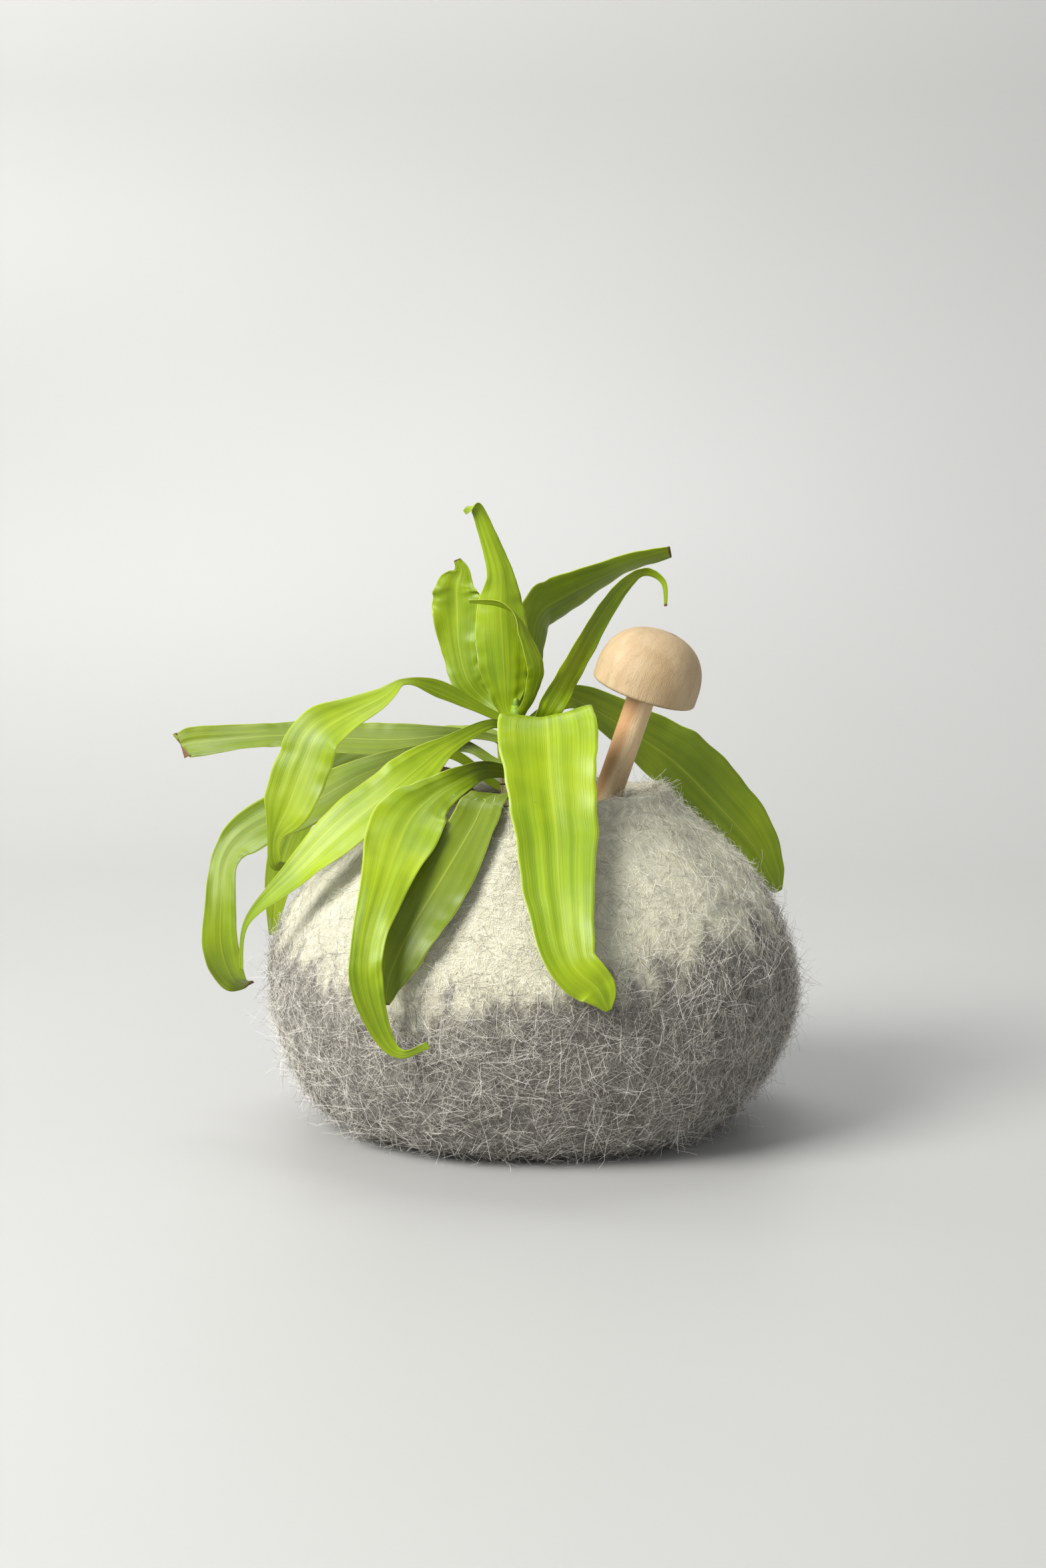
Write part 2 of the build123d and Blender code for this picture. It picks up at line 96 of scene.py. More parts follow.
class Tree:
    """A node tree with short calls for the nodes that the materials and the fibres share."""

    def __init__(self, tree):
        self.tree = tree

    def node(self, kind, settings=None, inputs=None):
        """One node: its settings first, then values or links for its sockets, by name or number."""
        made = self.tree.nodes.new(kind)
        for name, value in (settings or {}).items():
            setattr(made, name, value)
        for key, value in (inputs or {}).items():
            socket = made.inputs[key]
            if isinstance(value, Value):
                self.tree.links.new(value.socket, socket)
            else:
                socket.default_value = value
        return made

    def out(self, made, key=0):
        return Value(self, made.outputs[key])

    def math(self, operation, *values):
        return self.out(self.node("ShaderNodeMath", {"operation": operation}, dict(enumerate(values))))

    def step(self, value, low, high):
        """0 below low, 1 above high, smooth between."""
        settings = {"interpolation_type": "SMOOTHSTEP"}
        inputs = {"Value": value, "From Min": low, "From Max": high}
        return self.out(self.node("ShaderNodeMapRange", settings, inputs))

    def noise(self, vector, scale, detail=2.0, roughness=0.5, distortion=0.0):
        inputs = {"Vector": vector, "Scale": scale, "Detail": detail, "Roughness": roughness,
                  "Distortion": distortion}
        return self.out(self.node("ShaderNodeTexNoise", None, inputs))

    def scaled(self, vector, factors):
        settings = {"operation": "MULTIPLY"}
        return self.out(self.node("ShaderNodeVectorMath", settings, {0: vector, 1: factors}))

    def moved(self, vector, offset):
        settings = {"operation": "ADD"}
        return self.out(self.node("ShaderNodeVectorMath", settings, {0: vector, 1: offset}))

    def turned(self, vector, axis, angle):
        settings = {"rotation_type": "AXIS_ANGLE"}
        inputs = {"Vector": vector, "Axis": axis, "Angle": angle}
        return self.out(self.node("ShaderNodeVectorRotate", settings, inputs))

    def mix(self, factor, low, high):
        """Blend of two colours; each is a socket or (red, green, blue)."""
        colours = [shade if isinstance(shade, Value) else (*shade, 1.0) for shade in (low, high)]
        inputs = {0: factor, 6: colours[0], 7: colours[1]}
        return self.out(self.node("ShaderNodeMix", {"data_type": "RGBA"}, inputs), 2)

    def attribute(self, name):
        return self.out(self.node("ShaderNodeAttribute", {"attribute_name": name}), "Fac")

    def position(self):
        return self.out(self.node("ShaderNodeTexCoord"), "Object")

    def axes(self, vector):
        split = self.node("ShaderNodeSeparateXYZ", None, {0: vector})
        return [self.out(split, i) for i in range(3)]


def material(name, paint):
    """Material whose nodes are made by paint(tree), which returns the shader's socket values."""
    made = bpy.data.materials.new(name)
    made.use_nodes = True
    made.node_tree.nodes.clear()
    tree = Tree(made.node_tree)
    values = paint(tree)
    relief = values.pop("Relief", None)
    if relief is not None:
        height, depth = relief
        bump = tree.node("ShaderNodeBump", None, {"Height": height, "Distance": depth, "Strength": 1.0})
        values["Normal"] = tree.out(bump)
    shader = tree.node("ShaderNodeBsdfPrincipled", None, values)
    output = tree.node("ShaderNodeOutputMaterial")
    made.node_tree.links.new(shader.outputs[0], output.inputs[0])
    return made


# ================================================================ materials
LEAF_DEEP = (0.150, 0.240, 0.0012)
LEAF_BRIGHT = (0.255, 0.365, 0.002)
LEAF_FRESH = (0.390, 0.500, 0.010)
LEAF_PALE = (0.56, 0.62, 0.10)


def felt_paint(tree):
    """Wet-felted wool matted in every direction: cream where grey is 0, mixed grey where it is 1."""
    spot = tree.position()
    grey = tree.attribute("grey")
    strands = []
    for angle, axis in ((0.4, (0, 0, 1)), (1.5, (0.3, 1, 0.2)), (2.6, (1, 0.2, 0.5)), (0.9, (1, 1, 0))):
        lay = tree.turned(spot, axis, angle)
        waves = tree.node("ShaderNodeTexNoise", None, {"Vector": lay, "Scale": 60.0})
        lay = tree.moved(lay, tree.scaled(tree.out(waves, 1), (0.012, 0.012, 0.012)))
        grain = tree.noise(tree.scaled(lay, (150, 1700, 1700)), 1.0, 2.0, 0.55)
        strands.append(tree.step(abs(grain - 0.5), 0.07, 0.0))
    light = tree.math("MAXIMUM", strands[0], strands[1])
    dark = tree.math("MAXIMUM", strands[2], strands[3] * 0.8)
    mottle = tree.noise(spot, 240.0, 3.0, 0.6)
    clump = tree.noise(spot, 95.0, 2.0, 0.5)
    patch = tree.noise(spot, 26.0, 3.0, 0.6)
    cream = tree.mix(mottle, (0.84, 0.80, 0.56), (0.96, 0.93, 0.71))
    cream = tree.mix(tree.step(patch, 0.5, 0.75) * 0.45, cream, (0.62, 0.58, 0.44))
    cream = tree.mix(light * 0.4, cream, (0.95, 0.93, 0.78))
    cream = tree.mix(dark * tree.step(clump, 0.5, 0.72) * 0.4, cream, (0.36, 0.32, 0.22))
    shade = tree.mix(tree.step(mottle, 0.35, 0.68), (0.125, 0.113, 0.090), (0.35, 0.330, 0.275))
    shade = tree.mix(tree.step(patch, 0.45, 0.7) * 0.45, shade, (0.21, 0.17, 0.135))
    shade = tree.mix(dark * 0.55, shade, (0.060, 0.048, 0.036))
    shade = tree.mix(light * 0.6, shade, (0.56, 0.52, 0.44))
    streak = tree.noise(tree.scaled(spot, (150, 150, 70)), 1.0, 4.0, 0.65)
    edge = tree.step(grey + (streak - 0.5) * 1.1 + (patch - 0.5) * 0.5, 0.10, 0.90)
    height = mottle * 0.5 + clump * 0.6 + light * 0.3 - dark * 0.15
    return {"Base Color": tree.mix(edge, cream, shade), "Roughness": 0.95, "Sheen Weight": 0.25,
            "Sheen Roughness": 0.5, "Relief": (height, 0.0010)}


def leaf_paint(tree):
    """Satin lime-green blade: soft bands and fine veins along it, a pale margin, brown at torn ends, and
    painted shade that darkens whole leaves that sit in shade.
    """
    across, along = tree.axes(tree.out(tree.node("ShaderNodeUVMap", {"uv_map": "blade"})))[:2]
    spot = tree.position()
    lane = tree.out(tree.node("ShaderNodeCombineXYZ", None, {0: across, 1: along * 0.02}))
    veins = tree.noise(tree.scaled(lane, (100, 12, 1)), 1.0, 1.0, 0.5)
    bands = tree.noise(tree.scaled(lane, (7, 14, 1)), 1.0, 1.0, 0.5)
    patches = tree.noise(spot, 20.0, 3.0, 0.55)
    green = tree.mix(tree.step(bands * 0.6 + patches * 0.4, 0.32, 0.68), LEAF_DEEP, LEAF_BRIGHT)
    green = tree.mix(tree.step(patches, 0.45, 0.75) * 0.5, green, LEAF_FRESH)
    green = tree.mix(tree.step(veins, 0.5, 0.8) * 0.35, green, LEAF_FRESH)
    green = tree.mix(tree.step(veins, 0.5, 0.25) * 0.4, green, (0.10, 0.175, 0.001))
    # Painted shade: the whole green of a leaf that sits in shade is darkened by this per-leaf value.
    green = tree.mix(tree.attribute("painted_shade"), green, (0.090, 0.125, 0.001))
    rib = tree.step(abs(across - 0.5), 0.022, 0.0)
    green = tree.mix(rib * 0.25, green, LEAF_PALE)
    margin = tree.step(abs(across - 0.5), 0.482, 0.5)
    green = tree.mix(margin * 0.6, green, LEAF_PALE)
    spots = tree.noise(tree.scaled(spot, (160, 160, 420)), 1.0, 2.0, 0.5)
    green = tree.mix(tree.step(spots, 0.80, 0.84) * 0.8, green, (0.20, 0.09, 0.02))
    brown = tree.step(tree.attribute("dry") + (patches - 0.5) * 0.8, 0.45, 0.6)
    green = tree.mix(brown, green, (0.13, 0.055, 0.018))
    height = veins * 0.35 + bands * 0.7
    return {"Base Color": green, "Roughness": 0.36 + bands * 0.12 + brown * 0.3, "Specular IOR Level": 0.35,
            "Coat Weight": 0.06, "Coat Roughness": 0.25, "Relief": (height, 0.00028)}


def dried_paint(tree):
    """Dry brown leaf, ribbed and mottled."""
    spot = tree.position()
    rough = tree.noise(spot, 260.0, 4.0, 0.6)
    ribs = tree.noise(tree.scaled(spot, (300, 900, 300)), 1.0, 2.0, 0.5)
    colour = tree.mix(tree.step(rough, 0.35, 0.7), (0.035, 0.016, 0.010), (0.12, 0.055, 0.03))
    return {"Base Color": colour, "Roughness": 0.75, "Relief": (rough + ribs, 0.0006)}


def wood_paint(pale, mid, dark, heart_side):
    """Paint for bare turned wood whose grain runs along the mushroom's stem."""
    def paint(tree):
        spot = tree.turned(tree.moved(tree.position(), MUSHROOM_FOOT), LEAN_AXIS, -MUSHROOM_LEAN)
        x, y, z = tree.axes(spot)
        grain = tree.noise(tree.scaled(spot, (1500, 1500, 90)), 1.0, 3.0, 0.65)
        pores = tree.noise(tree.scaled(spot, (3400, 3400, 500)), 1.0, 1.0, 0.5)
        swirl = tree.noise(tree.scaled(spot, (60, 60, 24)), 1.0, 3.0, 0.5, 0.6)
        wave = tree.noise(tree.scaled(spot, (45, 45, 16)), 1.0, 2.0, 0.5)
        reach = tree.math("SQRT", (x + 0.017) * (x + 0.017) + (y + 0.009) * (y + 0.009))
        rings = abs(tree.math("FRACT", reach * 240 + wave * 3.6 + swirl * 1.2) - 0.5) * 2
        colour = tree.mix(tree.step(swirl, 0.3, 0.7), pale, mid)
        colour = tree.mix(tree.step(rings, 0.35, 1.0) * 0.14, colour, dark)
        colour = tree.mix(tree.step(grain, 0.5, 0.78) * 0.3, colour, dark)
        colour = tree.mix(tree.step(pores, 0.60, 0.74) * 0.4, colour, dark)
        if heart_side is None:
            pith = tree.math("SQRT", (x - PITH[0]) * (x - PITH[0]) + (y - PITH[1]) * (y - PITH[1]))
            mark = tree.step(pith + (swirl - 0.5) * 0.004, 0.0030, 0.0012) * tree.step(z, 0.060, 0.066)
            colour = tree.mix(mark * 0.85, colour, (0.10, 0.045, 0.018))
        else:
            heart = tree.step(x + (wave - 0.5) * 0.012, heart_side + 0.0035, heart_side - 0.0010)
            colour = tree.mix(heart * 0.75, colour, (0.43, 0.19, 0.06))
        height = grain * 0.6 - pores * 0.8
        return {"Base Color": colour, "Roughness": 0.60 - pores * 0.1, "Relief": (height, 0.00025)}
    return paint


def mix_paint(tree):
    """Damp potting mix: dark crumbs with paler bark and fibre."""
    spot = tree.position()
    crumbs = tree.node("ShaderNodeTexVoronoi", None, {"Vector": spot, "Scale": 420.0})
    tone = tree.axes(tree.out(crumbs, "Color"))[0]
    rough = tree.noise(spot, 700.0, 4.0, 0.65)
    colour = tree.mix(tone, (0.012, 0.008, 0.005), (0.06, 0.036, 0.02))
    colour = tree.mix(tree.step(rough, 0.62, 0.74) * 0.6, colour, (0.16, 0.11, 0.07))
    height = rough - tree.out(crumbs, "Distance")
    return {"Base Color": colour, "Roughness": 0.92, "Relief": (height, 0.0012)}


def cane_paint(tree):
    """Woody cane with ring scars where leaves have dropped."""
    spot = tree.position()
    z = tree.axes(spot)[2]
    wave = tree.noise(spot, 120.0, 3.0, 0.6)
    rings = abs(tree.math("FRACT", z * 190 + wave * 0.5) - 0.5)
    bark = tree.noise(tree.scaled(spot, (900, 900, 180)), 1.0, 3.0, 0.6)
    colour = tree.mix(tree.step(bark, 0.35, 0.7), (0.13, 0.10, 0.05), (0.28, 0.23, 0.12))
    colour = tree.mix(tree.step(rings, 0.10, 0.0), colour, (0.07, 0.05, 0.03))
    height = bark + tree.step(rings, 0.12, 0.0) * -1.5
    return {"Base Color": colour, "Roughness": 0.8, "Relief": (height, 0.0006)}


def shoot_paint(tree):
    """Green shoot with the rims of old leaf sheaths round it."""
    spot = tree.position()
    z = tree.axes(spot)[2]
    wave = tree.noise(spot, 90.0, 2.0, 0.5)
    rings = tree.math("FRACT", z * 150 + wave)
    veins = tree.noise(tree.scaled(spot, (1100, 1100, 60)), 1.0, 2.0, 0.5)
    colour = tree.mix(rings, (0.10, 0.20, 0.006), (0.26, 0.42, 0.02))
    colour = tree.mix(tree.step(veins, 0.5, 0.75) * 0.4, colour, (0.42, 0.55, 0.08))
    return {"Base Color": colour, "Roughness": 0.45, "Relief": (rings + veins * 0.3, 0.0005)}


def root_paint(tree):
    """Pale fleshy root skin."""
    spot = tree.position()
    skin = tree.noise(spot, 500.0, 4.0, 0.6)
    return {"Base Color": tree.mix(skin, (0.36, 0.25, 0.12), (0.62, 0.50, 0.30)), "Roughness": 0.7,
            "Relief": (skin, 0.0005)}


def plastic_paint(dark, light, roughness):
    """Paint for thin moulded plastic with faint flow marks and scuffs."""
    def paint(tree):
        spot = tree.position()
        flow = tree.noise(tree.scaled(spot, (30, 30, 160)), 1.0, 3.0, 0.5)
        scuff = tree.noise(spot, 900.0, 2.0, 0.7)
        colour = tree.mix(flow * 0.6 + scuff * 0.2, dark, light)
        gloss = roughness + scuff * 0.18
        return {"Base Color": colour, "Roughness": gloss, "Relief": (scuff * 0.4 + flow, 0.00012)}
    return paint


MUSHROOM_LEAN = math.radians(19.4)
LEAN_BEARING = math.radians(-22.0)
LEAN_AXIS = (-math.sin(LEAN_BEARING), math.cos(LEAN_BEARING), 0.0)
CAP_TONES = ((0.54, 0.405, 0.235), (0.43, 0.30, 0.155), (0.26, 0.16, 0.075))
# Painted light: the stem's tones are made paler than its wood so that the shaded stem reads as lit.
STEM_TONES_WITH_PAINTED_LIGHT = ((0.92, 0.71, 0.42), (0.80, 0.57, 0.31), (0.46, 0.27, 0.13))
PITH = (0.005, 0.003)
STEM_AT_RIM = (0.0339, -0.0048, 0.150)
MUSHROOM_FOOT = tuple(-value for value in STEM_AT_RIM)

FELT = material("felt", felt_paint)
LEAF = material("leaf_green", leaf_paint)
DRIED = material("dried_leaf", dried_paint)
CAP_WOOD = material("cap_wood", wood_paint(*CAP_TONES, None))
# Stem wood, with painted light that pales it where it sits in shade.
STEM_WOOD_WITH_PAINTED_LIGHT = material("stem_wood", wood_paint(*STEM_TONES_WITH_PAINTED_LIGHT, -0.0030))
MIX = material("potting_mix", mix_paint)
CANE = material("cane", cane_paint)
SHOOT = material("shoot", shoot_paint)
ROOT = material("root", root_paint)
POT = material("pot_plastic", plastic_paint((0.012, 0.012, 0.012), (0.035, 0.035, 0.036), 0.42))
SAUCER = material("saucer_plastic", plastic_paint((0.62, 0.65, 0.65), (0.78, 0.80, 0.79), 0.22))

CAD_MATERIALS = {
    "drip_saucer": SAUCER, "nursery_pot": POT, "roots": ROOT, "cane": CANE,
    "mushroom_cap": CAP_WOOD, "mushroom_stem": STEM_WOOD_WITH_PAINTED_LIGHT,
}
for node, paint in CAD_MATERIALS.items():
    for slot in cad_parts[node].material_slots:
        slot.material = paint


# ================================================================ mesh helpers
def mesh_object(name, points, faces, paint, smooth=True):
    """Object of a closed mesh at the origin."""
    mesh = bpy.data.meshes.new(name)
    mesh.from_pydata(points, [], faces)
    mesh.materials.append(paint)
    mesh.polygons.foreach_set("use_smooth", [smooth] * len(mesh.polygons))
    made = bpy.data.objects.new(name, mesh)
    bpy.context.scene.collection.objects.link(made)
    return made


def point_values(made, name, values):
    """One number for each vertex, which materials and fibres read by name."""
    made.data.attributes.new(name, "FLOAT", "POINT").data.foreach_set("value", values)


def smooth_step(value, low, high):
    share = min(max((value - low) / (high - low), 0.0), 1.0)
    return share * share * (3 - 2 * share)


def around(table, bearing):
    """Value from a table of (bearing, value) that closes on itself, smoothly."""
    bearing = (bearing - table[0][0]) % 360 + table[0][0]
    loop = list(table) + [(table[0][0] + 360, table[0][1])]
    for (angle_a, value_a), (angle_b, value_b) in zip(loop, loop[1:]):
        if angle_a <= bearing <= angle_b:
            return value_a + (value_b - value_a) * smooth_step(bearing, angle_a, angle_b)
    return table[0][1]


# ================================================================ felt vessel
FELT_TURNS = 440
OUTER_BOWL_ROWS, OUTER_SHOULDER_ROWS = 62, 66
INNER_BOWL_ROWS, INNER_SHOULDER_ROWS = 10, 16
UNDERSIDE_ROWS = 14
LIP_ROWS = 7
ROLL_ROWS = 10
THROAT_ROWS = 6
FLOOR_ROWS = 8
FIRST_FURRY_ROW = 12
OUTER_SHARE = 0.82
# Height of the grey border, and how far the rim rises, at bearings round the felt
GREY_LINE = ((-180, 80), (-150, 82), (-122, 68), (-104, 72), (-92, 76), (-80, 84), (-60, 92), (-42, 97),
             (-34, 84), (-27, 108), (-18, 96), (-6, 106), (10, 100), (40, 90), (100, 82), (150, 84))
RIM_LIFT = ((-180, -1.0), (-130, 0.5), (-75, 2.0), (-50, 5.0), (-20, 5.0), (5, 2.5), (60, 0.0), (120, -2.0))
GREY_BLEND = 16.0
RIM_LIFT_START = 95.0
FLAT_FOOT_HEIGHT = 14.0


def shell_controls(inset, floor):
    """Base corner, belly, two shoulder handles and neck of one side of the felt wall."""
    belly = VESSEL_RADIUS - inset
    neck = (NECK_RADIUS - 0.6 * inset, NECK_HEIGHT - 0.8 * inset)
    handle_low = (belly, BELLY_HEIGHT + SHOULDER_FULLNESS)
    handle_high = (neck[0] + SHOULDER_FULLNESS, neck[1] - 0.75 * SHOULDER_FULLNESS)
    return (BASE_RADIUS, floor), (belly, BELLY_HEIGHT), handle_low, handle_high, neck


def wall_line(inset, floor, bowl_steps, shoulder_steps):
    """One side of the felt wall from the floor's corner to the neck, as (radius, height) points."""
    base, belly, low, high, neck = shell_controls(inset, floor)
    line = []
    for i in range(bowl_steps):
        turn = math.radians(90 * i / bowl_steps)
        radius = base[0] + (belly[0] - base[0]) * math.sin(turn)
        line.append((radius, floor + (belly[1] - floor) * (1 - math.cos(turn))))
    for i in range(shoulder_steps + 1):
        t = i / shoulder_steps
        weights = ((1 - t) ** 3, 3 * t * (1 - t) ** 2, 3 * t * t * (1 - t), t ** 3)
        spots = (belly, low, high, neck)
        line.append(tuple(sum(w * spot[axis] for w, spot in zip(weights, spots)) for axis in (0, 1)))
    return line


def straight(start, end, steps):
    """Points from start to end, without the last."""
    return [tuple(a + (b - a) * i / steps for a, b in zip(start, end)) for i in range(steps)]


def felt_line():
    """Outline of the felt from the middle of its underside, over the lip, to the middle of its floor."""
    outer = wall_line(0.0, 0.0, OUTER_BOWL_ROWS, OUTER_SHOULDER_ROWS)
    inner = wall_line(FELT_WALL, FELT_FLOOR, INNER_BOWL_ROWS, INNER_SHOULDER_ROWS)
    roll = FELT_WALL / 2
    lip = VESSEL_HEIGHT - roll
    line = straight((0, 0), outer[0], UNDERSIDE_ROWS) + outer[:-1]
    line += straight(outer[-1], (RIM_OUTER_RADIUS, lip), LIP_ROWS)
    for i in range(ROLL_ROWS + 1):
        turn = math.pi * i / ROLL_ROWS
        line.append((MOUTH_RADIUS + roll * (1 + math.cos(turn)), lip + roll * math.sin(turn)))
    line += straight((MOUTH_RADIUS, lip), inner[-1], THROAT_ROWS)[1:]
    line += inner[::-1]
    line += straight(inner[0], (0, FELT_FLOOR), FLOOR_ROWS)[1:] + [(0, FELT_FLOOR)]
    return line


def felt_relief(point, outside):
    """How far the wool stands out from the plain wall at a point, in millimetres."""
    swell = noise.noise(point * 0.016) * 3.0 + noise.noise(point * 0.045) * 1.1
    knots = noise.noise(point * 0.14) * 0.45 + noise.noise(point * 0.33) * 0.38
    pits = abs(noise.noise(point * 0.62)) * -0.55 + noise.noise(point * 1.1) * 0.16
    return (swell + knots + pits) if outside else 0.4 * knots


def border_wander(out, height):
    """How far the ragged grey border strays from its line, in millimetres."""
    wander = noise.noise(Vector((out.x * 5, out.y * 5, height * 0.03))) * 7
    wander += noise.noise(Vector((out.x * 14, out.y * 14, height * 0.09))) * 8
    wander += noise.noise(Vector((out.x * 36, out.y * 36, height * 0.06))) * 9
    return wander


def felt_vessel():
    """Lumpy closed shell of felt, with how grey each point is and how densely it grows each fibre."""
    line = felt_line()
    points, greys, grey_fur, cream_fur = [], [], [], []
    last = len(line) - 1
    for i, (radius, height) in enumerate(line):
        before = line[max(i - 1, 0)]
        after = line[min(i + 1, last)]
        run = Vector((after[0] - before[0], after[1] - before[1])).normalized()
        turns = 1 if i in (0, last) else FELT_TURNS
        for j in range(turns):
            bearing = 2 * math.pi * j / FELT_TURNS
            out = Vector((math.cos(bearing), math.sin(bearing), 0))
            normal = out * run.y + Vector((0, 0, -run.x))
            spot = out * radius + Vector((0, 0, height))
            degrees = math.degrees(bearing)
            high = smooth_step(height, RIM_LIFT_START, VESSEL_HEIGHT)
            outside = i < last * OUTER_SHARE
            move = felt_relief(spot, outside)
            free = smooth_step(height, 0, FLAT_FOOT_HEIGHT) if outside else 1.0
            spot = spot + normal * move * (0.12 + 0.88 * free)
            spot.z += around(RIM_LIFT, degrees) * high
            spot.z = max(spot.z, 0.0)
            points.append(spot * MM)
            border = around(GREY_LINE, degrees) + border_wander(out, height)
            grey = smooth_step(border - spot.z, -GREY_BLEND, GREY_BLEND)
            furry = 1.0 if outside and i > FIRST_FURRY_ROW else 0.0
            greys.append(grey)
            grey_fur.append(grey * furry)
            cream_fur.append((1 - grey) * furry)
    faces = []
    start = 1
    for i in range(last):
        here = start
        there = here + FELT_TURNS
        for j in range(FELT_TURNS):
            k = (j + 1) % FELT_TURNS
            if i == 0:
                faces.append((0, start + k, start + j))
            elif i == last - 1:
                faces.append((here + j, here + k, len(points) - 1))
            else:
                faces.append((here + j, here + k, there + k, there + j))
        if i > 0:
            start = there
    made = mesh_object("felt_body", points, faces, FELT)
    point_values(made, "grey", greys)
    point_values(made, "grey_fur", grey_fur)
    point_values(made, "cream_fur", cream_fur)
    return made


felt_body = felt_vessel()
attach(felt_body, "vessel")
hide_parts("felt_vessel")


# ================================================================ leaves
def shell_radius(height):
    """Radius of the felt's outer side at a height."""
    line = wall_line(0.0, 0.0, 16, 16) + [(RIM_OUTER_RADIUS, VESSEL_HEIGHT)]
    for (radius_a, height_a), (radius_b, height_b) in zip(line, line[1:]):
        if height_a <= height <= height_b:
            share = (height - height_a) / (height_b - height_a)
            return radius_a + share * (radius_b - radius_a)
    return RIM_OUTER_RADIUS


def over(x, y, rise, half_width, roll):
    """Leaf station in the air, its height counted from the rim."""
    return x, y, VESSEL_HEIGHT + rise, half_width, roll


def beside(bearing, share, gap, half_width, roll):
    """Leaf station outside the shell, at a share of its height and a gap off its wall."""
    height = share * VESSEL_HEIGHT
    reach = shell_radius(height) + gap
    turn = math.radians(bearing)
    return reach * math.cos(turn), reach * math.sin(turn), height, half_width, roll


